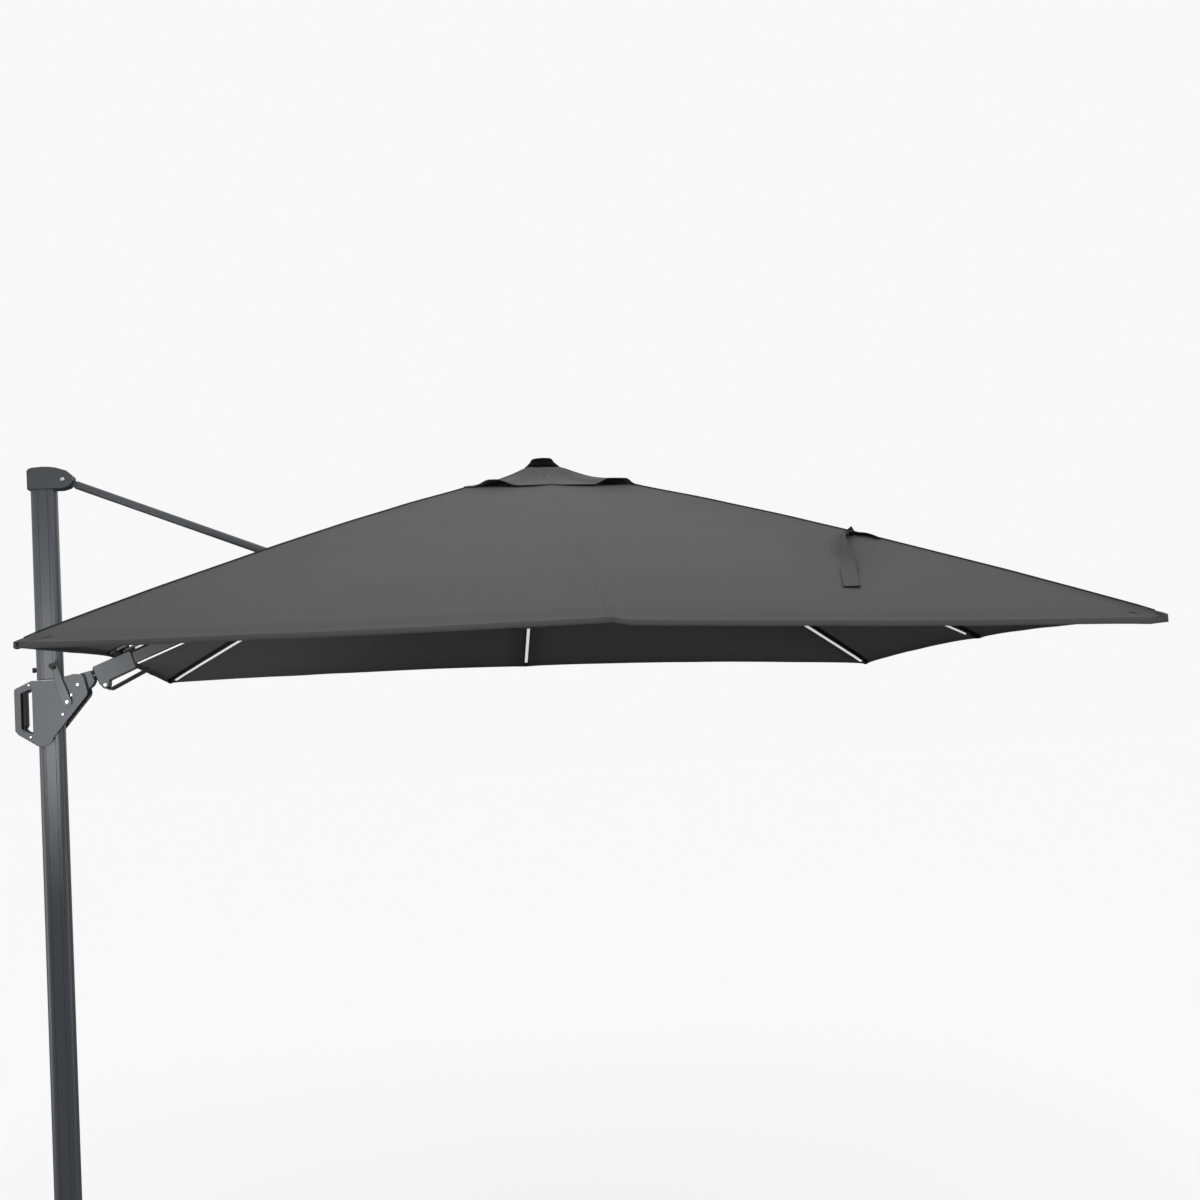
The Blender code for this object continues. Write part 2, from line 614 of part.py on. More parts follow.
def prop_reach(name):
    """Distance of the stretcher's pin along the rib, so that all ribs share the runner.

    The stretcher's length has to be the same with the runner up and down."""
    angle, _ = rib_angle(name)
    above_runner = hinge_of(name)[1] - RUNNER.z
    above_closed = above_runner + RUNNER_DROP_CLOSED - RUNNER_DROP
    low, high = 0.3, 1.0
    for _ in range(60):
        reach = (low + high) / 2
        opened = (prop_pin(angle, reach) - Vector((0, -above_runner))).length
        closed = (prop_pin(RIB_CLOSED, reach) - Vector((0, -above_closed))).length
        low, high = (reach, high) if opened < closed else (low, reach)
    return reach, opened


def plane_to_world(name, point):
    """A point of the rib's own plane, outwards and up from its hinge, in the world."""
    azimuth = azimuths()[name]
    start, height = hinge_of(name)
    out = start + point[0]
    return Vector((HUB.x + out * math.cos(azimuth), out * math.sin(azimuth),
                   height + point[1]))


def rib_mesh_parts(size, length, reach):
    """A rib's tube and what is joined to it, in the rib's frame, +X outwards."""
    width, depth = size
    wall = 0.0016
    tube_start = 0.030
    stick = tube(depth, width, 0.004, wall, length - tube_start)
    stick.transform(Matrix.Translation(((length + tube_start) / 2, 0, 0)) @ LIE_X)
    half, high = width / 2 - wall + 0.0004, depth / 2 - wall + 0.0004
    tongue = box_between((-0.0080, -half, -high), (0.0700, half, high))
    cheeks = [(box_between((reach - 0.012, 0.0066, -0.0310),
                           (reach + 0.012, 0.0092, 0.0065 - depth / 2)),
               Matrix.Scale(side, 4, (0, 1, 0))) for side in (-1, 1)]
    pin = (cone(0.0028, 0.0028, 0.0160, LIE_Y, 12),
           Matrix.Translation((reach, 0, -STRETCHER_PIN_BELOW)))
    return stick, tongue, cheeks, pin


def make_rib(name):
    angle, length = rib_angle(name)
    reach, prop = prop_reach(name)
    azimuth = azimuths()[name]
    turn = (0, math.pi / 2 - angle, azimuth)
    hinge = plane_to_world(name, (0, 0))
    pin_place = plane_to_world(name, prop_pin(angle, reach))
    anchor("rib_axis_" + name, hinge, "tilt_axis")
    anchor("stretcher_axis_" + name, pin_place, "rib_axis_" + name)

    size = RAIL_SIZE if name == "left" else RIB_SIZE
    stick, tongue, cheeks, pin = rib_mesh_parts(size, length, reach)
    sides = (-RAIL_OFFSET, RAIL_OFFSET) if name == "left" else (0,)
    rib = None
    for side in sides:
        across = Vector((0, side, 0))
        if rib is None:
            rib = piece("rib_" + name, stick, COATED, "rib_axis_" + name, hinge + across, turn)
        else:
            join(rib, stick.copy(), hinge + across, turn)
        join(rib, tongue.copy(), hinge + across, turn)
        flipped = together(cheeks)
        shape = bmesh.new()
        shape.from_mesh(flipped)
        bmesh.ops.recalc_face_normals(shape, faces=shape.faces)
        shape.to_mesh(flipped)
        shape.free()
        join(rib, flipped, hinge + across, turn)
        join(rib, together([pin]), hinge + across, turn)
        hole = 0.0043 if name == "left" else 0.0028
        cut(rib, cone(hole, hole, 0.040, LIE_Y, 16), hinge + across, turn)
    if name == "left":
        tie = box((0.024, 2 * RAIL_OFFSET + 0.010, 0.004), (length - 0.013, 0, 0.0062))
        join(rib, tie, hinge, turn)

    make_stretchers(name, sides, pin_place, prop)


def make_stretchers(name, sides, pin_place, prop):
    foot = plane_to_world(name, (0, RUNNER.z - hinge_of(name)[1]))
    across = math.hypot(pin_place.x - foot.x, pin_place.y - foot.y)
    rise = math.atan2(pin_place.z - foot.z, across)
    outline = (arc((0, 0), 0.009, 51, 309, 12) + arc((prop, 0), 0.009, -129, 129, 12))
    # local X runs from the runner outwards and up
    turn = (math.radians(90), -rise, azimuths()[name])
    foot_hole = {"front": 0.0029, "back": 0.0029, "right": 0.0062, "left": 0.0066}
    for side in sides:
        suffix = {0: "", -RAIL_OFFSET: "_front", RAIL_OFFSET: "_back"}[side]
        shift = Vector((0, side, 0))
        bar = piece("stretcher_" + name + suffix, plate([outline], STRETCHER_THICK), COATED,
                    "stretcher_axis_" + name, foot + shift, turn)
        cut(bar, rod(0.0031, 0.040, 14), pin_place + shift, turn)
        cut(bar, rod(foot_hole.get(name, 0.0045), 0.040, 16), foot + shift, turn)


def make_runner():
    anchor("runner_axis", plane_to_world("front", (0, -RUNNER_DROP)), "stretcher_axis_front")
    runner = piece("runner", rod(0.0690, 0.0240, 64), DARK, "runner_axis", RUNNER)
    join(runner, box_between((-0.113, -0.0580, -0.0110), (-0.040, 0.0580, 0.0110)), RUNNER)
    slots, pins = [], []
    for name, azimuth in azimuths().items():
        spin = Matrix.Rotation(azimuth, 4, "Z")
        if name != "left":
            slots.append((box((0.090, 0.0134, 0.080)),
                          spin @ Matrix.Translation((0.0455 + 0.045, 0, 0))))
        if name in ("front", "back", "right"):
            pins.append((cone(0.0025, 0.0025, 0.0190, LIE_Y, 12),
                         spin @ Matrix.Translation((HUB_RADIUS, 0, 0))))
    pins.append((cone(0.0025, 0.0025, 0.146, LIE_Y, 12),
                 Matrix.Translation((-RAIL_RADIUS, 0, 0))))
    cut(runner, together(slots), RUNNER)
    join(runner, together(pins), RUNNER)
    cut(runner, rod(0.0180, 0.060, 32), RUNNER)


# ---------------------------------------------------------------- cloth
def ring_sheet(rings):
    """An open sheet through rings of points, one face between neighbours."""
    def build(shape):
        rows = [[shape.verts.new(point) for point in ring] for ring in rings]
        for inner, outer in zip(rows, rows[1:]):
            count = len(inner)
            for k in range(count):
                following = (k + 1) % count
                shape.faces.new((inner[k], outer[k], outer[following], inner[following]))
    return to_mesh(build)


def thicken(target):
    step = target.modifiers.new("cloth thickness", "SOLIDIFY")
    step.thickness = CLOTH
    step.offset = -1


def make_cloth():
    tips = list(TIPS.values())
    inner = [APEX.lerp(tip, OPENING_SHARE) for tip in tips]
    canopy = piece("canopy", ring_sheet([inner, tips]), CANVAS, "tilt_axis", (0, 0, 0))
    thicken(canopy)
    half = 0.0560
    cut(canopy, box_between((0.832, -half, 2.25), (0.896, half, 2.40)), (0, 0, 0))

    lift = Vector((0, 0, 0.005))
    skirt = [APEX.lerp(tip, VENT_HALF / CANOPY_HALF) + lift for tip in tips]
    crown = [APEX.lerp(tip, 0.020 / CANOPY_HALF) + Vector((0, 0, -0.0125)) for tip in tips]
    brow = [APEX.lerp(tip, 0.060 / CANOPY_HALF) + Vector((0, 0, 0.0035)) for tip in tips]
    vent = piece("vent_cap", ring_sheet([crown, brow, skirt]), CANVAS, "tilt_axis", (0, 0, 0))
    thicken(vent)

    ridge, middle = TIPS["front_right"], TIPS["front"]
    upper = APEX.lerp(ridge, 0.60)
    normal = (ridge - APEX).cross(middle - APEX).normalized()
    if normal.z < 0:
        normal = -normal
    fall = (middle - ridge).normalized()
    down = normal.cross(Vector((0, 0, 1)).cross(normal)).normalized() * -1
    along = (down * 0.9 + fall * 0.25).normalized()
    aside = normal.cross(along)
    length, width, thick = 0.200, 0.036, 0.0014
    turn = Matrix((along, aside, normal)).transposed().to_euler()
    centre = upper + along * (length / 2 + 0.012) + fall * 0.03 + normal * 0.0016
    piece("tie_strap", box((length, width, thick)), CANVAS, "tilt_axis", centre, turn)


make_anchors()
make_base()
make_mast()
make_strut()
make_arm_foot()
make_slider()
make_crank()
make_arm()
make_hub()
for rib_name in TIPS:
    make_rib(rib_name)
make_runner()
make_cloth()
bpy.context.view_layer.update()
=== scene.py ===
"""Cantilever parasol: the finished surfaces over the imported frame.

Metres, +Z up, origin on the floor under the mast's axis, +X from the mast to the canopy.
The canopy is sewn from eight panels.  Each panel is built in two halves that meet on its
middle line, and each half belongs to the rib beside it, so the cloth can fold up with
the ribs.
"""
import json
import math

import bmesh
import bpy
from mathutils import Matrix, Vector, noise


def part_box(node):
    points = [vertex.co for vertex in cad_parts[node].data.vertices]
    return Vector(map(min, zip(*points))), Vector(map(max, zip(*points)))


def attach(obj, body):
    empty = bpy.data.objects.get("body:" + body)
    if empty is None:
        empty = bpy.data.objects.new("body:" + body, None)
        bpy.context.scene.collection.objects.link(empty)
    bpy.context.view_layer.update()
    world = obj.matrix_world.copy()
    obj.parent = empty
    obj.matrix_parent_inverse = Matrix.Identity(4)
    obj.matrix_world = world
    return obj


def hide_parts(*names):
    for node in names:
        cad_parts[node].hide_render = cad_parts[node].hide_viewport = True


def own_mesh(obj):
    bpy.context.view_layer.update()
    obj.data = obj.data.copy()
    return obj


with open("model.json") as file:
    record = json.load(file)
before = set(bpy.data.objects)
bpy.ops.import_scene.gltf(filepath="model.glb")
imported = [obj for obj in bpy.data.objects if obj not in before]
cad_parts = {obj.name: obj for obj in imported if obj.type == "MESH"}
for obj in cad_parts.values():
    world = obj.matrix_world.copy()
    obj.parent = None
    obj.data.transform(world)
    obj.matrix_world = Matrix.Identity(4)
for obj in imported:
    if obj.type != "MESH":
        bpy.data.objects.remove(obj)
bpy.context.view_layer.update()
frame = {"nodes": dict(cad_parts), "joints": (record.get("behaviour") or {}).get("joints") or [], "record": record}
NODES = frame["nodes"]

# ---------------------------------------------------------------- dimensions
APEX = Vector((1.675, 0, 2.657))
HUB = Vector((1.675, 0, 2.612))
CENTRE_X, HALF = 1.696, 1.500
TIPS = {
    "right": Vector((CENTRE_X + HALF, 0, 1.968)),
    "back_right": Vector((CENTRE_X + HALF, HALF, 1.938)),
    "back": Vector((CENTRE_X, HALF, 2.0035)),
    "back_left": Vector((CENTRE_X - HALF, HALF, 2.012)),
    "left": Vector((CENTRE_X - HALF, 0, 2.057)),
    "front_left": Vector((CENTRE_X - HALF, -HALF, 2.012)),
    "front": Vector((CENTRE_X, -HALF, 2.0035)),
    "front_right": Vector((CENTRE_X + HALF, -HALF, 1.938)),
}
AROUND = ["front", "front_right", "right", "back_right", "back", "back_left", "left",
          "front_left"]
# how far a panel's hem hangs below the straight line between its tips, in the middle
HEM_DROP = {("front", "front_right"): 0.013, ("front", "front_left"): 0.006,
            ("back", "back_left"): -0.009, ("back", "back_right"): -0.013,
            ("right", "back_right"): -0.012, ("right", "front_right"): -0.015,
            ("left", "front_left"): -0.004, ("left", "back_left"): -0.004}
HEM_WIDE = 0.026
HEM_TURN = 0.014           # the part of the hem that hangs straight down
CLOTH = 0.0012
SAG = 0.010                # a panel's sag between its ribs
RIPPLE = 0.0035            # slow waves in a panel
CREASE = 0.004             # creases that run in from the corners
STRUT_SLOT = (0.478, 0.612, 0.070)     # share of the ridge: from, to; then its half width
FINIAL_SET = 0.0065        # how far the finial sits below the top of its CAD body
PIPING_RADIUS = 0.0024
ARM_RISE = math.radians(21.8)
ARM_FOOT = Vector((0.095, 0, 1.9789))
ARM_PIN = Vector((0.095, 0, 1.9676))
STRUT_PIN = Vector((0.067, 0, 2.655))
SLIDER_FACE = -0.0518


# ---------------------------------------------------------------- materials
def nodes_of(material):
    tree = material.node_tree
    return tree, tree.nodes, tree.links, tree.nodes["Principled BSDF"]


def add(tree, kind, **inputs):
    node = tree.nodes.new(kind)
    for key, value in inputs.items():
        node.inputs[key.replace("_", " ")].default_value = value
    return node


def maths(tree, operation, *values):
    node = tree.nodes.new("ShaderNodeMath")
    node.operation = operation
    for socket, value in zip(node.inputs, values):
        if isinstance(value, (int, float)):
            socket.default_value = value
        else:
            tree.links.new(value, socket)
    return node.outputs[0]


def hard(name, colour, roughness, metallic=0.0, grain=900, bump=0.15, tone=0.10,
         stretch=(1, 1, 1), coat=0.0, specular=0.5):
    """A hard surface: fine grain in the relief, slow change in tone and roughness."""
    made = bpy.data.materials.new(name)
    made.use_nodes = True
    tree, _, links, shader = nodes_of(made)
    place = add(tree, "ShaderNodeTexCoord")
    mapping = add(tree, "ShaderNodeMapping", Scale=stretch)
    links.new(place.outputs["Object"], mapping.inputs["Vector"])
    fine = add(tree, "ShaderNodeTexNoise", Scale=grain, Detail=3.0)
    slow = add(tree, "ShaderNodeTexNoise", Scale=9.0, Detail=5.0, Roughness=0.6)
    for tex in (fine, slow):
        links.new(mapping.outputs["Vector"], tex.inputs["Vector"])
    ramp = tree.nodes.new("ShaderNodeValToRGB")
    low, high = [tuple(c * k for c in colour) + (1,) for k in (1 - tone, 1 + tone)]
    ramp.color_ramp.elements[0].position, ramp.color_ramp.elements[0].color = 0.3, low
    ramp.color_ramp.elements[1].position, ramp.color_ramp.elements[1].color = 0.7, high
    links.new(slow.outputs["Fac"], ramp.inputs["Fac"])
    links.new(ramp.outputs["Color"], shader.inputs["Base Color"])
    spread = add(tree, "ShaderNodeMapRange")
    spread.inputs["To Min"].default_value = roughness - 0.05
    spread.inputs["To Max"].default_value = roughness + 0.06
    links.new(fine.outputs["Fac"], spread.inputs["Value"])
    links.new(spread.outputs["Result"], shader.inputs["Roughness"])
    relief = add(tree, "ShaderNodeBump", Strength=bump, Distance=0.0003)
    links.new(fine.outputs["Fac"], relief.inputs["Height"])
    links.new(relief.outputs["Normal"], shader.inputs["Normal"])
    shader.inputs["Metallic"].default_value = metallic
    shader.inputs["Specular IOR Level"].default_value = specular
    if coat:
        shader.inputs["Coat Weight"].default_value = coat
        shader.inputs["Coat Roughness"].default_value = 0.25
    return made


def cloth(name, colour, thread=0.0011, seam=0.006, tone=0.06, stitches=True):
    """Plain woven cloth.  UV is in metres: U across from the seam, V up from the hem."""
    made = bpy.data.materials.new(name)
    made.use_nodes = True
    tree, _, links, shader = nodes_of(made)
    uv = add(tree, "ShaderNodeTexCoord").outputs["UV"]
    split = add(tree, "ShaderNodeSeparateXYZ")
    links.new(uv, split.inputs[0])
    across, along = split.outputs[0], split.outputs[1]
    turn = 2 * math.pi / thread
    warp = maths(tree, "SINE", maths(tree, "MULTIPLY", across, turn))
    weft = maths(tree, "SINE", maths(tree, "MULTIPLY", along, turn))
    weave = maths(tree, "MULTIPLY", warp, weft)
    place = add(tree, "ShaderNodeTexCoord").outputs["Object"]
    slub = add(tree, "ShaderNodeTexNoise", Scale=260.0, Detail=4.0, Roughness=0.7)
    cloud = add(tree, "ShaderNodeTexNoise", Scale=2.2, Detail=5.0, Roughness=0.55)
    for tex in (slub, cloud):
        links.new(place, tex.inputs["Vector"])
    height = maths(tree, "ADD", weave, maths(tree, "MULTIPLY", slub.outputs["Fac"], 1.2))
    shade = maths(tree, "ADD", maths(tree, "MULTIPLY", cloud.outputs["Fac"], 0.7),
                  maths(tree, "MULTIPLY", slub.outputs["Fac"], 0.3))
    if stitches:
        rows = None
        dash = maths(tree, "GREATER_THAN", maths(
            tree, "SINE", maths(tree, "MULTIPLY", along, 2 * math.pi / 0.0045)), -0.35)
        for offset in (seam * 0.35, seam):
            near = maths(tree, "LESS_THAN", maths(
                tree, "ABSOLUTE", maths(tree, "SUBTRACT", across, offset)), 0.0006)
            row = maths(tree, "MULTIPLY", near, dash)
            rows = row if rows is None else maths(tree, "MAXIMUM", rows, row)
        beat = maths(tree, "GREATER_THAN", maths(
            tree, "SINE", maths(tree, "MULTIPLY", across, 2 * math.pi / 0.0045)), -0.35)
        near = maths(tree, "LESS_THAN", maths(
            tree, "ABSOLUTE", maths(tree, "SUBTRACT", along, HEM_WIDE - 0.004)), 0.0006)
        rows = maths(tree, "MAXIMUM", rows, maths(tree, "MULTIPLY", near, beat))
        height = maths(tree, "SUBTRACT", height, maths(tree, "MULTIPLY", rows, 3.0))
        shade = maths(tree, "SUBTRACT", shade, maths(tree, "MULTIPLY", rows, 0.35))
        felled = maths(tree, "LESS_THAN", across, seam * 1.3)
        edge = maths(tree, "LESS_THAN", maths(
            tree, "ABSOLUTE", maths(tree, "SUBTRACT", across, seam * 1.4)), 0.0011)
        height = maths(tree, "ADD", height, maths(tree, "MULTIPLY", felled, 2.5))
        # the felled seam and its edge line are darkened in colour: painted shade along the seam's fold
        shade = maths(tree, "SUBTRACT", shade, maths(tree, "MULTIPLY", felled, 0.06))
        shade = maths(tree, "SUBTRACT", shade, maths(tree, "MULTIPLY", edge, 0.30))
    ramp = tree.nodes.new("ShaderNodeValToRGB")
    low, high = [tuple(c * k for c in colour) + (1,) for k in (1 - tone, 1 + tone)]
    ramp.color_ramp.elements[0].position, ramp.color_ramp.elements[0].color = 0.25, low
    ramp.color_ramp.elements[1].position, ramp.color_ramp.elements[1].color = 0.75, high
    if stitches:                                # below the cloth's range the colour runs darker: painted shade on the seam's edge and the felled seam
        dark = ramp.color_ramp.elements.new(0.0)
        dark.color = tuple(c * 0.62 for c in colour) + (1,)
    links.new(shade, ramp.inputs["Fac"])
    links.new(ramp.outputs["Color"], shader.inputs["Base Color"])
    relief = add(tree, "ShaderNodeBump", Strength=0.22, Distance=0.00025)
    links.new(height, relief.inputs["Height"])
    links.new(relief.outputs["Normal"], shader.inputs["Normal"])
    shader.inputs["Roughness"].default_value = 0.88
    shader.inputs["Specular IOR Level"].default_value = 0.25
    shader.inputs["Sheen Weight"].default_value = 0.08
    shader.inputs["Sheen Roughness"].default_value = 0.5
    return made


CANOPY = cloth("canopy_cloth", (0.0605, 0.0605, 0.061))
HEM = cloth("hem_cloth", (0.064, 0.064, 0.065))
LINING = cloth("canopy_underside", (0.063, 0.063, 0.0635))
# the vent cap's underside is near black: painted shade in the gap under the vent
VENT_UNDERSIDE_PAINTED_SHADE = cloth("vent_underside_painted_shade", (0.008, 0.008, 0.008))
WEBBING = cloth("webbing", (0.055, 0.055, 0.056), thread=0.0016, stitches=False)
COATED = hard("powder_coated_aluminium", (0.070, 0.073, 0.080), 0.42, 0.25, grain=1500,
              bump=0.10, tone=0.06)
# the ribs' own dark coat; the arm tube gets it too, as painted shade
RIB_COAT_AND_PAINTED_ARM_SHADE = hard("rib_coating", (0.030, 0.030, 0.032), 0.45, 0.2, grain=1500, bump=0.10)
CASTING = hard("coated_casting", (0.060, 0.064, 0.070), 0.50, 0.15, grain=700, bump=0.30)
CRANK_COAT = hard("crank_coating", (0.045, 0.047, 0.052), 0.40, 0.2, grain=900,
                  bump=0.15)
BLACK = hard("black_plastic", (0.010, 0.010, 0.011), 0.50, grain=1300, bump=0.25,
             specular=0.22)
# a dark cloth for the ridge piping; on the tie strap's fold it is painted shade
PIPING_AND_PAINTED_FOLD_SHADE = cloth("seam_piping", (0.022, 0.022, 0.0225), stitches=False)
JET = hard("finial_plastic", (0.0030, 0.0030, 0.0032), 0.75,
           grain=1300, bump=0.2, specular=0.03)
PALE_STRIP_WITH_PAINTED_GLOW = hard("pale_strip_painted_glow", (0.55, 0.55, 0.54), 0.35, grain=500, bump=0.05, tone=0.03)
# the pale strips' emission is painted light: a painted glow that makes them read bright, though they are no lamps
painted_glow_shader = nodes_of(PALE_STRIP_WITH_PAINTED_GLOW)[3]
painted_glow_shader.inputs["Emission Color"].default_value = (1, 1, 0.98, 1)
painted_glow_shader.inputs["Emission Strength"].default_value = 0.55
# a pale grey for the slider housing's top rim: a painted highlight
PAINTED_RIM_HIGHLIGHT = hard("painted_rim_highlight", (0.30, 0.30, 0.31), 0.35, 0.3, grain=900, bump=0.1)
STEEL = hard("bright_steel", (0.62, 0.62, 0.63), 0.28, 1.0, grain=1200, bump=0.10,
             stretch=(1, 1, 4))
DARK_STEEL = hard("dark_steel", (0.015, 0.015, 0.016), 0.40, 0.3, grain=1200, bump=0.10)
STONE = hard("ballast_stone", (0.30, 0.30, 0.285), 0.85, grain=160, bump=0.9, tone=0.16)

FINISH = {"frame_coating": COATED, "rib_coating": RIB_COAT_AND_PAINTED_ARM_SHADE, "casting": CASTING,
          "dark_steel": DARK_STEEL, "black_plastic": BLACK, "bright_steel": STEEL,
          "canopy_cloth": CANOPY, "ballast_stone": STONE}
for part in frame["record"]["subparts"]:
    node = NODES[part["node"]]
    node.data.materials.clear()
    node.data.materials.append(FINISH[part["material_slot"]])
NODES["crank_arm"].data.materials[0] = CRANK_COAT
# the arm tube takes the ribs' darker coat: painted shade, as the arm sits in the canopy's shadow
NODES["arm_tube"].data.materials[0] = RIB_COAT_AND_PAINTED_ARM_SHADE


# ---------------------------------------------------------------- mesh helpers
def made_object(name, mesh, material, body, replaced=()):
    mesh.name = name
    if not mesh.materials:
        mesh.materials.append(material)
    made = bpy.data.objects.new(name, mesh)
    bpy.context.scene.collection.objects.link(made)
    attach(made, body)
    if replaced:
        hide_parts(*replaced)
    return made


def from_bmesh(shape, sharp=32):
    bmesh.ops.recalc_face_normals(shape, faces=shape.faces)
    mesh = bpy.data.meshes.new("mesh")
    shape.to_mesh(mesh)
    shape.free()
    mesh.shade_smooth()
    mesh.set_sharp_from_angle(angle=math.radians(sharp))
    return mesh


def rounded_box(size, place, turn=Matrix(), radius=0.002, segments=3):
    shape = bmesh.new()
    bmesh.ops.create_cube(shape, size=1, matrix=Matrix.Diagonal((*size, 1)))
    bmesh.ops.bevel(shape, geom=shape.edges[:], offset=radius, segments=segments,
                    profile=0.5, affect="EDGES")
    shape.transform(Matrix.Translation(place) @ turn.to_4x4())
    return from_bmesh(shape)


def turned(profile, place, turn=Matrix(), segments=48):
    """A turned piece: (radius, height) points from bottom to top, along local Z."""
    shape = bmesh.new()
    rings = []
    for radius, height in profile:
        rings.append([shape.verts.new((radius * math.cos(2 * math.pi * k / segments),
                                       radius * math.sin(2 * math.pi * k / segments),
                                       height)) for k in range(segments)])
    for lower, upper in zip(rings, rings[1:]):
        for k in range(segments):
            n = (k + 1) % segments
            shape.faces.new((lower[k], lower[n], upper[n], upper[k]))
    shape.faces.new(list(reversed(rings[0])))
    shape.faces.new(rings[-1])
    shape.transform(Matrix.Translation(place) @ turn.to_4x4())
    return from_bmesh(shape)


def extruded(outline, low, high, turn, place):
    """A flat outline in local X and Y, swept along local Z from low to high."""
    shape = bmesh.new()
    bottom = [shape.verts.new((x, y, low)) for x, y in outline]
    top = [shape.verts.new((x, y, high)) for x, y in outline]
    count = len(outline)
    for k in range(count):
        n = (k + 1) % count
        shape.faces.new((bottom[k], bottom[n], top[n], top[k]))
    shape.faces.new(list(reversed(bottom)))
    shape.faces.new(top)
    shape.transform(Matrix.Translation(place) @ turn.to_4x4())
    return shape


def swept(points, section):
    """A section (list of (aside, up) pairs) carried along points, with flat ends."""
    shape = bmesh.new()
    rings = []
    for k, point in enumerate(points):
        ahead = (points[min(k + 1, len(points) - 1)] - points[max(k - 1, 0)]).normalized()
        aside = ahead.cross(Vector((0, 0, 1)))
        aside = aside.normalized() if aside.length > 1e-4 else Vector((0, 1, 0))
        up = aside.cross(ahead)
        rings.append([shape.verts.new(point + aside * a + up * b) for a, b in section])
    count = len(section)
    for lower, upper in zip(rings, rings[1:]):
        for k in range(count):
            n = (k + 1) % count
            shape.faces.new((lower[k], lower[n], upper[n], upper[k]))
    shape.faces.new(list(reversed(rings[0])))
    shape.faces.new(rings[-1])
    return from_bmesh(shape)


def circle(radius, count=12):
    return [(radius * math.cos(2 * math.pi * k / count),
             radius * math.sin(2 * math.pi * k / count)) for k in range(count)]


LIE_Y = Matrix.Rotation(math.radians(90), 3, "X")      # local Z to -Y


# ---------------------------------------------------------------- the canopy's surface
BOW = [(0.0, 0.0), (0.19, 0.003), (0.334, 0.017), (0.46, 0.0245), (0.585, 0.0275),
       (0.71, 0.0270), (0.79, 0.0265), (0.87, 0.0235), (0.96, 0.0195), (1.0, 0.0135)]


def bow(s):
    """How far a ridge stands above the straight line from the apex to its tip."""
    for (a, low), (b, high) in zip(BOW, BOW[1:]):
        if s <= b:
            t = (s - a) / (b - a)
            t = t * t * (3 - 2 * t) * 0.4 + t * 0.6
            return low + (high - low) * t
    return BOW[-1][1]


def hem_drop(a, b):
    return HEM_DROP[(a, b)] if (a, b) in HEM_DROP else HEM_DROP[(b, a)]


def canopy_point(a, b, s, w):
    """A point of the canopy's upper face: s from apex to hem, w from rib a to rib b."""
    point = APEX.lerp(TIPS[a], s).lerp(APEX.lerp(TIPS[b], s), w)
    between = 4 * w * (1 - w)
    point.z += bow(s)
    point.z -= SAG * between * math.sin(math.pi * min(1, s * 1.02))
    power = 0.25 if {a, b} == {"front", "front_right"} else 0.6
    point.z -= hem_drop(a, b) * between ** power * s ** 9
    fold = noise.noise(Vector((point.x * 1.1, point.y * 1.1, 7.3)))
    point.z += RIPPLE * fold * between * min(1, (s - 0.1) * 3)
    # the front right corner is drawn out a little past its rib
    if "front_right" in (a, b):
        away = (point - TIPS["front_right"]).length
        point += Vector((0.009, -0.002, -0.002)) * math.exp(-(away / 0.06) ** 2)
    # soft creases that run in from each corner
    for name in (a, b):
        if "_" in name:
            tip = TIPS[name]
            out = (APEX - tip).normalized()
            reach = (point - tip).dot(out)
            aside = ((point - tip) - out * reach).length
            if reach > 0:
                ripple = noise.noise(Vector((aside * 7.0, reach * 0.8, len(name) * 1.7)))
                point.z += CREASE * ripple * between * math.exp(-reach / 0.7)
    return point


def normal_at(surface, a, b, s, w):
    step = 0.004
    along = surface(a, b, min(s + step, 1), w) - surface(a, b, s - step, w)
    across = surface(a, b, s, min(w + step, 1)) - surface(a, b, s, max(w - step, 0))
    normal = across.cross(along).normalized()
    return normal if normal.z > 0 else -normal


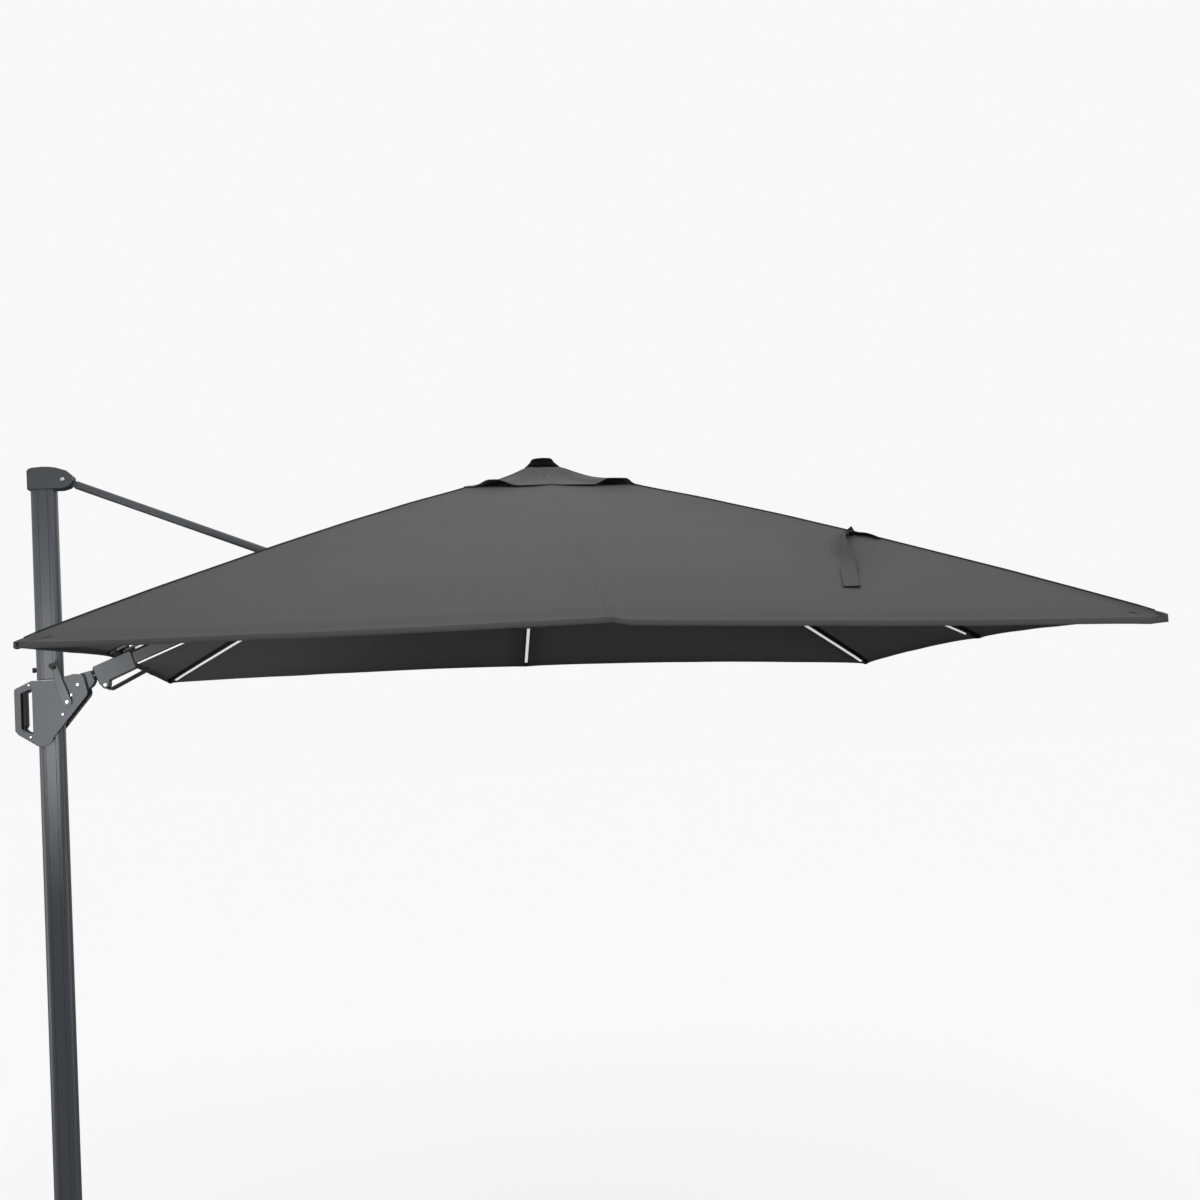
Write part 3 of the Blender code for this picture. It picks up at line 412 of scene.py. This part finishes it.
def half_panel(name, surface, near, far, rows, columns, start, end, slot_gap=None,
               turned_down=0.0, materials=(CANOPY, HEM, LINING)):
    """Half of a panel as thin closed cloth, from rib near to the panel's middle line."""
    edge = (TIPS[near] - APEX)
    rib_length = edge.length
    hem = HEM_WIDE / rib_length
    steps = [start + (end - hem - start) * k / rows for k in range(rows + 1)]
    steps += [end - hem * 0.98, end - hem * 0.5, end - hem * 0.12, end]
    if slot_gap:
        low, high, _ = slot_gap
        for target in (low, high):
            k = min(range(rows), key=lambda j: abs(steps[j] - target))
            steps[k] = target
    middle = (TIPS[far] - TIPS[near]).length / 2

    def share(s, c):
        if slot_gap:
            first = slot_gap[2] / (2 * middle * s)
            return 0.0 if c == 0 else first + (0.5 - first) * (c - 1) / (columns - 1)
        return 0.5 * c / columns

    shape = bmesh.new()
    layer = shape.loops.layers.uv.new("cloth")
    top, bottom, normals, place = [], [], [], {}
    for r, s in enumerate(steps):
        above = 0.0010 if s > end - hem * 0.99 else 0.0
        row_top, row_bottom = [], []
        for c in range(columns + 1):
            w = share(s, c)
            point = surface(near, far, s, w)
            up = normal_at(surface, near, far, s, w)
            for row, height, side in ((row_top, above, 1), (row_bottom, -CLOTH - above, -1)):
                vert = shape.verts.new(point + Vector((0, 0, height)))
                row.append(vert)
                normals.append(up * side)
                place[vert] = (2 * middle * s * w, (1 - s) * rib_length)
        top.append(row_top)
        bottom.append(row_bottom)
    if turned_down:
        out = Vector((TIPS[near].x + TIPS[far].x - 2 * CENTRE_X,
                      TIPS[near].y + TIPS[far].y, 0))
        out = Vector((math.copysign(1, out.x), 0, 0)) if abs(out.x) > abs(out.y) \
            else Vector((0, math.copysign(1, out.y), 0))
        row_top, row_bottom = [], []
        for c in range(columns + 1):
            w = share(end, c)
            point = surface(near, far, end, w)
            for row, inward, side in ((row_top, 0.0, 1), (row_bottom, 0.0026, -1)):
                away = (point - TIPS["front_right"]).length
                down = turned_down * (1 + 0.45 * math.exp(-away / 0.09))
                vert = shape.verts.new(point - Vector((0, 0, down)) - out * inward)
                row.append(vert)
                normals.append(out * side)
                place[vert] = (2 * middle * end * w, -turned_down)
        top.append(row_top)
        bottom.append(row_bottom)
    total = len(top)
    hem_row = rows + 1

    def face(verts, index):
        made = shape.faces.new(verts)
        made.material_index = index
        made.smooth = True

    def open_here(r, c):
        return (slot_gap and c == 0 and r + 1 < len(steps)
                and steps[r] >= slot_gap[0] - 1e-6 and steps[r + 1] <= slot_gap[1] + 1e-6)

    for r in range(total - 1):
        index = 1 if r >= hem_row - 1 else 0
        for c in range(columns):
            if open_here(r, c):
                continue
            face((top[r][c], top[r + 1][c], top[r + 1][c + 1], top[r][c + 1]), index)
            face((bottom[r][c], bottom[r][c + 1], bottom[r + 1][c + 1], bottom[r + 1][c]),
                 1 if index else 2)
    edges = {}
    for item in shape.faces:
        for loop in item.loops:
            pair = (loop.vert, loop.link_loop_next.vert)
            edges[pair] = True
    partner = {}
    for row_top, row_bottom in zip(top, bottom):
        for upper, lower in zip(row_top, row_bottom):
            partner[upper] = lower
    for (first, second) in list(edges):
        if first in partner and second in partner and (second, first) not in edges:
            face((second, first, partner[first], partner[second]), 0)
    loose = [vert for vert in shape.verts if not vert.link_faces]
    keep = [normal for vert, normal in zip(shape.verts, normals) if vert.link_faces]
    for item in shape.faces:
        for loop in item.loops:
            loop[layer].uv = place[loop.vert]
    bmesh.ops.delete(shape, geom=loose, context="VERTS")
    volume = shape.calc_volume(signed=True)
    if volume < 0:
        bmesh.ops.reverse_faces(shape, faces=shape.faces)
    mesh = bpy.data.meshes.new(name)
    shape.to_mesh(mesh)
    shape.free()
    for material in materials:
        mesh.materials.append(material)
    mesh.normals_split_custom_set_from_vertices([tuple(n) for n in keep])
    return mesh


def fold_with(piece, near, far):
    """Gives the half panel a mesh of its own; the rib's line and the cross direction are worked out but not used.
    """
    ridge = (TIPS[near] - APEX).normalized()
    across = TIPS[far] - TIPS[near]
    across = (across - ridge * across.dot(ridge)).normalized()
    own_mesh(piece)


PAIRS = []
for first, second in zip(AROUND, AROUND[1:] + AROUND[:1]):
    PAIRS += [(first, second), (second, first)]

CANOPY_START = 0.180
canopy_pieces = []
for near, far in PAIRS:
    gap = STRUT_SLOT if near == "left" else None
    name = f"panel_{near}_towards_{far}"
    mesh = half_panel(name, canopy_point, near, far, 44, 16, CANOPY_START, 1.0, gap, HEM_TURN)
    piece = made_object(name, mesh, CANOPY, "rib_" + near)
    fold_with(piece, near, far)
    canopy_pieces.append(piece)
for piece in canopy_pieces:
    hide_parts("canopy")


# ---------------------------------------------------------------- the vent cap
VENT_END = 0.19
VENT_START = 0.036
# lifted parts of the cap's hem, from the corner: start, full, still full, end, height
VENT_LIFT = {("front", "front_left"): (0.08, 0.28, 0.36, 0.62, 0.021),
             ("front", "front_right"): (0.02, 0.13, 0.32, 0.52, 0.021),
             ("right", "front_right"): (0.14, 0.32, 0.46, 0.66, 0.016)}


def smooth(t):
    t = min(1.0, max(0.0, t))
    return t * t * (3 - 2 * t)


def vent_point(a, b, s, w):
    """The cap over the canopy's opening; its hem is lifted between its fixed points."""
    point = APEX.lerp(TIPS[a], s).lerp(APEX.lerp(TIPS[b], s), w)
    pair = (a, b) if "_" in b else (b, a)
    from_corner = (1 - w) if "_" in b else w
    rise, full, hold, fall, high = VENT_LIFT.get(pair, (0.10, 0.34, 0.44, 0.66, 0.012))
    t = max(0.0, (s - 0.05) / (VENT_END - 0.05))
    lift = high * smooth((from_corner - rise) / (full - rise)) \
        * (1 - smooth((from_corner - hold) / (fall - hold))) * t ** 1.3
    # the cap dips between its crown and its hem
    dip = -0.016 * math.sin(math.pi * min(1, max(0, (s - 0.03) / 0.16))) * (1 - 0.4 * t)
    crown = -0.010 * max(0.0, 1 - s / 0.05)
    point.z += bow(s) + 0.0028 + lift + dip * (0.8 + 0.5 * 4 * w * (1 - w)) + crown
    point.z += 0.0016 * noise.noise(Vector((point.x * 16, point.y * 16, 2.0))) * t
    return point


vent_pieces = []
for near, far in PAIRS:
    name = f"vent_{near}_towards_{far}"
    mesh = half_panel(name, vent_point, near, far, 22, 18, VENT_START, VENT_END,
                      materials=(CANOPY, HEM, VENT_UNDERSIDE_PAINTED_SHADE))
    piece = made_object(name, mesh, CANOPY, "rib_" + near)
    fold_with(piece, near, far)
    vent_pieces.append(piece)
for piece in vent_pieces:
    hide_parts("vent_cap")

# ---------------------------------------------------------------- finial
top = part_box("finial")[1].z - FINIAL_SET
profile = [(0.0605, 2.6335), (0.0615, 2.6350), (0.0600, 2.6385), (0.0510, 2.6460),
           (0.0430, 2.6535), (0.0398, 2.6580), (0.0390, 2.6603), (0.0370, 2.6630),
           (0.0340, 2.6660), (0.0300, top), (0.0120, top), (0.0100, top - 0.0012),
           (0.0001, top - 0.0014)]
made_object("finial_cap", turned(profile, (HUB.x, 0, 0), segments=64), JET,
            "arm", ["finial"])
made_object("finial_stem", turned([(0.006, 2.6250), (0.006, 2.6420)], (HUB.x, 0, 0),
                                  segments=24),
            BLACK, "arm")


# ---------------------------------------------------------------- ribs, caps and pockets
def rib_frame(name):
    """A rib's hinge and its hinge axis, from its joint."""
    joint = [j for j in frame["joints"] if j["child"] == "rib_" + name][0]
    return Vector(joint["pos_m"]), Vector(joint["axis"])


def rib_basis(name):
    hinge, axis = rib_frame(name)
    kind = "left" if name == "left" else "corner" if "_" in name else "middle"
    under, lift, wide, deep = {"corner": (0.017, 0.0053, 0.016, 0.022),
                               "middle": (0.014, 0.0023, 0.016, 0.022),
                               "left": (0.0125, 0.0020, 0.014, 0.014)}[kind]
    tip = TIPS[name]
    end = Vector((tip.x, tip.y, tip.z - under))
    ahead = (end - hinge).normalized()
    up = ahead.cross(axis).normalized()
    if up.z < 0:
        up = -up
    return hinge, end, ahead, up, lift, wide, deep


def rib_line(name, share):
    """A point on a rib's bowed centre line, and its depth there."""
    hinge, end, _, _, lift, _, deep = rib_basis(name)
    rise = bow(share)
    if name == "left":                          # straight beside the strut's fork
        rise *= smooth((share - 0.70) / 0.25)
    point = hinge.lerp(end, share) + Vector((0, 0, rise + lift * share))
    return point, deep + (min(deep, 0.0145) - deep) * share ** 2


def merge_shapes(parts):
    shape = bmesh.new()
    for mesh in parts:
        shape.from_mesh(mesh)
    return shape


def rounded_section(wide, deep, corner):
    points = []
    for quarter, (sx, sy) in enumerate(((1, 1), (-1, 1), (-1, -1), (1, -1))):
        for step in range(4):
            turn = math.radians(90) * (quarter + step / 3)
            points.append((sx * (wide / 2 - corner) + corner * math.cos(turn),
                           sy * (deep / 2 - corner) + corner * math.sin(turn)))
    return points


def bowed(name, side, first, last, section_of, below=0.0, count=28):
    """A bar that follows a rib's bow between two distances from its hinge."""
    hinge, end, ahead, up, _, _, _ = rib_basis(name)
    length = (end - hinge).length
    aside = up.cross(ahead)
    shape = bmesh.new()
    rings = []
    for k in range(count + 1):
        share = (first + (last - first) * k / count) / length
        centre, deep = rib_line(name, share)
        centre = centre + Vector((0, side, 0)) - up * (deep / 2 * (below > 0) + below)
        rings.append([shape.verts.new(centre + aside * a + up * b)
                      for a, b in section_of(deep)])
    size = len(rings[0])
    for lower, upper in zip(rings, rings[1:]):
        for k in range(size):
            n = (k + 1) % size
            shape.faces.new((lower[k], lower[n], upper[n], upper[k]))
    shape.faces.new(list(reversed(rings[0])))
    shape.faces.new(rings[-1])
    return from_bmesh(shape, 40)


for name in TIPS:
    hinge, end, ahead, up, lift, wide, deep = rib_basis(name)
    length = (end - hinge).length
    turn = Matrix((ahead, up.cross(ahead), up)).transposed()
    pin = [Vector(j["pos_m"]) for j in frame["joints"] if j["child"] == "stretcher_" + name][0]
    reach = (pin - hinge).dot(ahead)
    parts = []
    for side in ((-0.066, 0.066) if name == "left" else (0.0,)):
        shift = Vector((0, side, 0))
        parts.append(bowed(name, side, 0.030, length - 0.022,
                           lambda d: rounded_section(wide, d, 0.0035)))
        parts.append(rounded_box((0.078, wide - 0.0028, deep - 0.003),
                                 hinge + shift + ahead * 0.031, turn, 0.0022, 3))
        centre, _ = rib_line(name, reach / length)
        top_height = (centre - (hinge + ahead * reach)).dot(up)
        low_height = (pin - (hinge + ahead * reach)).dot(up)
        for cheek in (-1, 1):
            outline = [(0.017, top_height + 0.002), (-0.017, top_height + 0.002)]
            outline += [(0.0095 * math.cos(math.radians(a)),
                         low_height + 0.0095 * math.sin(math.radians(a)))
                        for a in range(180, 361, 20)]
            plate = extruded([(x, z) for x, z in outline], -0.0013, 0.0013,
                             Matrix.Rotation(math.radians(90), 3, "X"), (0, 0, 0))
            plate.transform(Matrix.Translation(hinge + shift + ahead * reach)
                            @ turn.to_4x4() @ Matrix.Translation((0, cheek * 0.0079, 0)))
            parts.append(from_bmesh(plate))
        parts.append(turned([(0.0042, -0.0112), (0.0046, -0.0104), (0.0046, -0.0092),
                             (0.0028, -0.0092), (0.0028, 0.0092), (0.0046, 0.0092),
                             (0.0046, 0.0104), (0.0042, 0.0112)], pin + shift,
                            turn @ LIE_Y, 20))
        cap_at = rib_line(name, (length - 0.021) / length)[0] + shift
        cap = rounded_box((0.030, wide + 0.0030, 0.0180), cap_at, turn, 0.0050, 4)
        tag = "" if not side else "_front" if side < 0 else "_back"
        made_object(f"rib_cap_{name}{tag}", cap, BLACK, "rib_" + name)
        # pale strips under the ribs, brightened by the painted glow of their material
        strip = bowed(name, side, 0.70, length - (0.075 if name == "left" else 0.050),
                      lambda d: rounded_section(0.0115, 0.0050, 0.0012), 0.0022)
        made_object(f"pale_strip_{name}{tag}", strip, PALE_STRIP_WITH_PAINTED_GLOW, "rib_" + name)
    if name == "left":
        tie_at = rib_line(name, (length - 0.018) / length)[0]
        parts.append(rounded_box((0.022, 0.132, 0.008), tie_at, turn, 0.002, 3))
    shape = merge_shapes(parts)
    mesh = bpy.data.meshes.new("rib")
    shape.to_mesh(mesh)
    shape.free()
    mesh.set_sharp_from_angle(angle=math.radians(40))
    made_object("bowed_rib_" + name, mesh, RIB_COAT_AND_PAINTED_ARM_SHADE, "rib_" + name,
                ["rib_" + name])

for name in TIPS:
    if "_" not in name:
        continue
    beside = [far for near, far in PAIRS if near == name]
    shape = bmesh.new()
    rows = []
    length = (TIPS[name] - APEX).length
    for k in range(13):                         # from one side's hem, over the ridge
        side = beside[0] if k <= 6 else beside[1]
        share = abs(k - 6) / 6
        row = []
        for r in range(7):
            back = 0.064 * (1 - 0.35 * share) * r / 6
            s = 1 - back / length
            w = share * 0.034 * (0.25 + 0.75 * (r / 6 if r else 0.1)) + share * 0.008
            point = canopy_point(name, side, s, w)
            row.append(point + Vector((0, 0, 0.0019 + 0.0005 * math.sin(r * 1.4))))
        rows.append(row)
    rings = [[shape.verts.new(p) for p in row] for row in rows]
    lower = [[shape.verts.new(p - Vector((0, 0, 0.0014))) for p in row] for row in rows]
    for k in range(12):
        for r in range(6):
            shape.faces.new((rings[k][r], rings[k + 1][r], rings[k + 1][r + 1],
                             rings[k][r + 1]))
            shape.faces.new((lower[k][r], lower[k][r + 1], lower[k + 1][r + 1],
                             lower[k + 1][r]))
    for r in range(6):
        for k, flip in ((0, False), (12, True)):
            quad = [rings[k][r], rings[k][r + 1], lower[k][r + 1], lower[k][r]]
            shape.faces.new(quad[::-1] if flip else quad)
    for k in range(12):
        for r, flip in ((0, True), (6, False)):
            quad = [rings[k][r], rings[k + 1][r], lower[k + 1][r], lower[k][r]]
            shape.faces.new(quad[::-1] if flip else quad)
    layer = shape.loops.layers.uv.new("cloth")
    for item in shape.faces:
        for loop in item.loops:
            loop[layer].uv = (loop.vert.co.x + 3, loop.vert.co.y + 5)
    pocket = made_object("corner_pocket_" + name, from_bmesh(shape, 50), WEBBING,
                         "rib_" + name)
    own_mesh(pocket)
    ridge = [canopy_point(name, beside[0], CANOPY_START + (0.985 - CANOPY_START) * k / 40, 0)
             + Vector((0, 0, 0.0012)) for k in range(41)]
    made_object("seam_piping_" + name, swept(ridge, circle(PIPING_RADIUS, 8)), PIPING_AND_PAINTED_FOLD_SHADE,
                "rib_" + name)


# ---------------------------------------------------------------- tie strap
def ribbon(name, path, width, asides, body, material=WEBBING, thick=0.0014,
           fold=(0, 0)):
    """A flat ribbon along a path, asides giving its width direction at each point."""
    shape = bmesh.new()
    layer = shape.loops.layers.uv.new("cloth")
    rows, run = [], [0.0]
    for k in range(1, len(path)):
        run.append(run[-1] + (path[k] - path[k - 1]).length)
    for k, (point, aside) in enumerate(zip(path, asides)):
        ahead = (path[min(k + 1, len(path) - 1)] - path[max(k - 1, 0)]).normalized()
        aside = (aside - ahead * aside.dot(ahead)).normalized()
        up = aside.cross(ahead)
        rows.append([shape.verts.new(point + aside * (width * a) + up * (thick * b))
                     for a, b in ((-0.5, 0.5), (0, 0.6), (0.5, 0.5),
                                  (0.5, -0.5), (0, -0.4), (-0.5, -0.5))])
    for k in range(len(rows) - 1):
        for j in range(6):
            n = (j + 1) % 6
            made = shape.faces.new((rows[k][j], rows[k][n], rows[k + 1][n], rows[k + 1][j]))
            # the fold rows get the dark piping cloth: painted shade where the strap bends over
            made.material_index = 1 if j in (2, 5) or fold[0] <= k < fold[1] else 0
            for loop in made.loops:
                at = (k if loop.vert in rows[k] else k + 1)
                loop[layer].uv = (width * (0.5 if j in (1, 2) else 0), run[at])
    shape.faces.new(list(reversed(rows[0])))
    shape.faces.new(rows[-1])
    mesh = from_bmesh(shape, 60)
    mesh.materials.append(material)
    mesh.materials.append(PIPING_AND_PAINTED_FOLD_SHADE)              # the darker edge faces, and painted shade on the strap's fold
    return made_object(name, mesh, material, body)


def spline(knots, count):
    """Points on a smooth curve through the knots."""
    points = []
    for k in range(len(knots) - 1):
        before = knots[max(k - 1, 0)]
        after = knots[min(k + 2, len(knots) - 1)]
        a, b = knots[k], knots[k + 1]
        for j in range(count):
            t = j / count
            points.append(0.5 * ((2 * a) + (b - before) * t
                                 + (2 * before - 5 * a + 4 * b - after) * t ** 2
                                 + (3 * a - before - 3 * b + after) * t ** 3))
    points.append(knots[-1])
    return points


def on_front(x, y, lift):
    """A point over the front right panel, or just past its ridge, at x and y."""
    s = -y / HALF
    centre = APEX.x + (CENTRE_X - APEX.x) * s
    w = (x - centre) / (HALF * s)
    if w > 1:
        s = (x - APEX.x) / (TIPS["right"].x - APEX.x)
        point = canopy_point("front_right", "right", s, max(0, 1 + y / (HALF * s)))
    elif w <= 0.5:
        point = canopy_point("front", "front_right", s, w)
    else:
        point = canopy_point("front_right", "front", s, 1 - w)
    return point + Vector((0, 0, lift))


knots = [on_front(2.600, -0.910, 0.0010), on_front(2.574, -0.886, 0.0055),
         on_front(2.548, -0.874, 0.0060), on_front(2.520, -0.868, 0.0065),
         on_front(2.492, -0.886, 0.0080), on_front(2.471, -0.945, 0.0110),
         on_front(2.452, -1.030, 0.0170), on_front(2.430, -1.140, 0.0110),
         on_front(2.409, -1.230, 0.0050), on_front(2.394, -1.300, 0.0030)]
path = spline(knots, 8)
asides = []
for k in range(len(path)):
    t = k / (len(path) - 1)
    angle = math.radians(62 - 62 * smooth((t - 0.20) / 0.22))
    tilt = 2.6 * math.exp(-((t - 0.61) / 0.13) ** 2)
    asides.append(Vector((math.cos(angle), math.sin(angle), tilt)).normalized())
# rows 25 to 36 are the fold, darkened with painted shade
strap = ribbon("tie_ribbon", path, 0.044, asides, "rib_front_right", WEBBING, 0.0022,
               (25, 36))
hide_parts("tie_strap")
end = path[-1]
tag = ribbon("tie_ribbon_end", [end + Vector((0.004, 0.024, 0.0042)),
                                end + Vector((0.001, 0.004, 0.0030)),
                                end + Vector((0, -0.003, 0.0018))],
             0.049, [Vector((1, 0, 0))] * 3, "rib_front_right", BLACK, 0.0022)
for piece in (strap, tag):
    fold_with(piece, "front_right", "front")

# ---------------------------------------------------------------- mast with its grooves
low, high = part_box("mast_tube")


def mast_outline(wide, deep, corner):
    points = []
    half_x, half_y = wide / 2, deep / 2
    for quarter, (sx, sy) in enumerate(((1, 1), (-1, 1), (-1, -1), (1, -1))):
        for step in range(9):
            turn = math.radians(90) * (quarter + step / 8)
            points.append((sx * (half_x - corner) + corner * math.cos(turn),
                           sy * (half_y - corner) + corner * math.sin(turn)))
    return points


def grooved(points):
    """Adds a fine groove beside each rounded corner on the two wide faces."""
    made = []
    count = len(points)
    for k in range(count):
        a, b = points[k], points[(k + 1) % count]
        made.append(a)
        flat = abs(a[1] - b[1]) < 1e-6 and abs(a[0] - b[0]) > 0.02
        if flat:
            inward = -math.copysign(0.0011, a[1])
            direction = math.copysign(1, b[0] - a[0])
            for x in (a[0] + direction * 0.002, b[0] - direction * 0.006):
                made += [(x, a[1]), (x + direction * 0.0008, a[1] + inward),
                         (x + direction * 0.0024, a[1] + inward),
                         (x + direction * 0.0032, a[1])]
    return made


outer = grooved(mast_outline(0.084, 0.064, 0.022))
shape = extruded(outer, low.z, high.z, Matrix(), (0, 0, 0))
made_object("mast_profile", from_bmesh(shape, 40), COATED, "mast",
            ["mast_tube"])


# ---------------------------------------------------------------- slider details
def bolt(name, place, radius, body, high=0.0030, material=STEEL):
    profile = [(radius * 0.96, 0), (radius, 0.0004), (radius, high * 0.6),
               (radius * 0.86, high * 0.9), (radius * 0.6, high), (radius * 0.45, high),
               (radius * 0.42, high * 0.45), (0.0001, high * 0.4)]
    return made_object(name, turned(profile, place, LIE_Y, 28), material, body)


for label, x, z in (("rear_upper", -0.0610, 1.9733), ("rear_lower", -0.0598, 1.8027)):
    bolt("slider_bolt_" + label, Vector((x, SLIDER_FACE, z)), 0.0040, "slider")
bolt("slider_bolt_head_upper", Vector((0.0745, SLIDER_FACE, 1.9353)), 0.0048, "slider", 0.0036)
bolt("slider_bolt_head_lower", Vector((0.0446, SLIDER_FACE, 1.8726)), 0.0048, "slider", 0.0036)
bolt("arm_pin_head", ARM_PIN + Vector((0, -0.0540, 0)), 0.0058, "slider", 0.0022)
bolt("cap_pin_head", STRUT_PIN + Vector((0, -0.0374, 0)), 0.0062, "mast", 0.0024)

# ---------------------------------------------------------------- painted highlights on arm and slider
def arm_point(along, above, aside):
    ahead = Vector((math.cos(ARM_RISE), 0, math.sin(ARM_RISE)))
    up = Vector((-math.sin(ARM_RISE), 0, math.cos(ARM_RISE)))
    return ARM_FOOT + ahead * along + up * above + Vector((0, aside, 0))


ARM_TURN = Matrix.Rotation(-ARM_RISE, 3, "Y")
# a glowing pale strip along the arm tube's lower front edge: a painted highlight
made_object("arm_painted_highlight_strip", rounded_box((0.62, 0.010, 0.0042),
                                          arm_point(0.196 + 0.31, -0.0238, -0.0105), ARM_TURN,
                                          0.0012, 2), PALE_STRIP_WITH_PAINTED_GLOW, "arm")
# a thin pale bar along the top of the slider housing: a painted highlight on its rim
made_object("housing_rim_painted_highlight", rounded_box((0.080, 0.0030, 0.0024),
                                       Vector((-0.008, SLIDER_FACE - 0.0004, 1.9868)),
                                       radius=0.0008),
            PAINTED_RIM_HIGHLIGHT, "slider")

# ---------------------------------------------------------------- camera
camera = bpy.data.cameras.new("camera")
camera.sensor_width = 36
camera.lens = 52.346
camera.clip_end = 200
view = bpy.data.objects.new("camera", camera)
bpy.context.scene.collection.objects.link(view)
yaw, pitch, roll = math.radians(6.894), math.radians(4.013), math.radians(-3.222)
ahead = Vector((math.sin(yaw) * math.cos(pitch), math.cos(yaw) * math.cos(pitch),
                math.sin(pitch)))
level = Vector((math.cos(yaw), -math.sin(yaw), 0))
upright = level.cross(ahead)
right = math.cos(roll) * level + math.sin(roll) * upright
up = -math.sin(roll) * level + math.cos(roll) * upright
view.matrix_world = Matrix.Translation((1.129, -5.976, 1.746)) @ Matrix(
    (right, up, -ahead)).transposed().to_4x4()
bpy.context.scene.camera = view

# ---------------------------------------------------------------- floor and light
shape = bmesh.new()
bmesh.ops.create_grid(shape, x_segments=2, y_segments=2, size=60)
floor = bpy.data.objects.new("floor", from_bmesh(shape))
bpy.context.scene.collection.objects.link(floor)
paint = bpy.data.materials.new("floor_paint")
paint.use_nodes = True
tree, _, links, shader = nodes_of(paint)
shader.inputs["Roughness"].default_value = 0.95
shader.inputs["Specular IOR Level"].default_value = 0.0
ray = add(tree, "ShaderNodeLightPath")
mix = tree.nodes.new("ShaderNodeMix")
mix.data_type = "RGBA"
mix.inputs["A"].default_value = (0.16, 0.16, 0.16, 1)
mix.inputs["B"].default_value = (0.15, 0.15, 0.15, 1)
links.new(ray.outputs["Is Camera Ray"], mix.inputs["Factor"])
links.new(mix.outputs["Result"], shader.inputs["Base Color"])
shader.inputs["Emission Color"].default_value = (1, 1, 1, 1)
links.new(maths(tree, "MULTIPLY", ray.outputs["Is Camera Ray"], 0.80),
          shader.inputs["Emission Strength"])
floor.data.materials.append(paint)

world = bpy.data.worlds.new("studio")
world.use_nodes = True
world.node_tree.nodes["Background"].inputs["Color"].default_value = (0.94, 0.94, 0.94, 1)
world.node_tree.nodes["Background"].inputs["Strength"].default_value = 1.0
bpy.context.scene.world = world


def area_light(name, place, target, size, power, colour=(1, 1, 1), spread=180):
    lamp = bpy.data.lights.new(name, "AREA")
    lamp.spread = math.radians(spread)
    lamp.shape = "DISK"
    lamp.size = size
    lamp.energy = power
    lamp.color = colour
    made = bpy.data.objects.new(name, lamp)
    bpy.context.scene.collection.objects.link(made)
    made.location = place
    made.rotation_euler = (Vector(target) - Vector(place)).to_track_quat("-Z", "Y").to_euler()


area_light("key", (1.4, -1.6, 4.2), (1.65, -0.3, 2.5), 1.0, 15)
area_light("side", (5.5, -5.0, 3.2), (0.2, 0, 1.6), 1.6, 40, (0.93, 0.96, 1.0))
area_light("low_left", (-4.5, -1.0, 0.7), (2.6, 0, 2.2), 2.0, 75)
area_light("near_left", (-0.3, -3.2, 1.3), (0.15, 0, 2.00), 0.5, 1.4, spread=22)
area_light("low_right", (7.5, -1.0, 0.7), (0.8, 0, 2.2), 2.0, 80)
bpy.context.scene.view_settings.view_transform = "Standard"
bpy.context.scene.view_settings.look = "None"
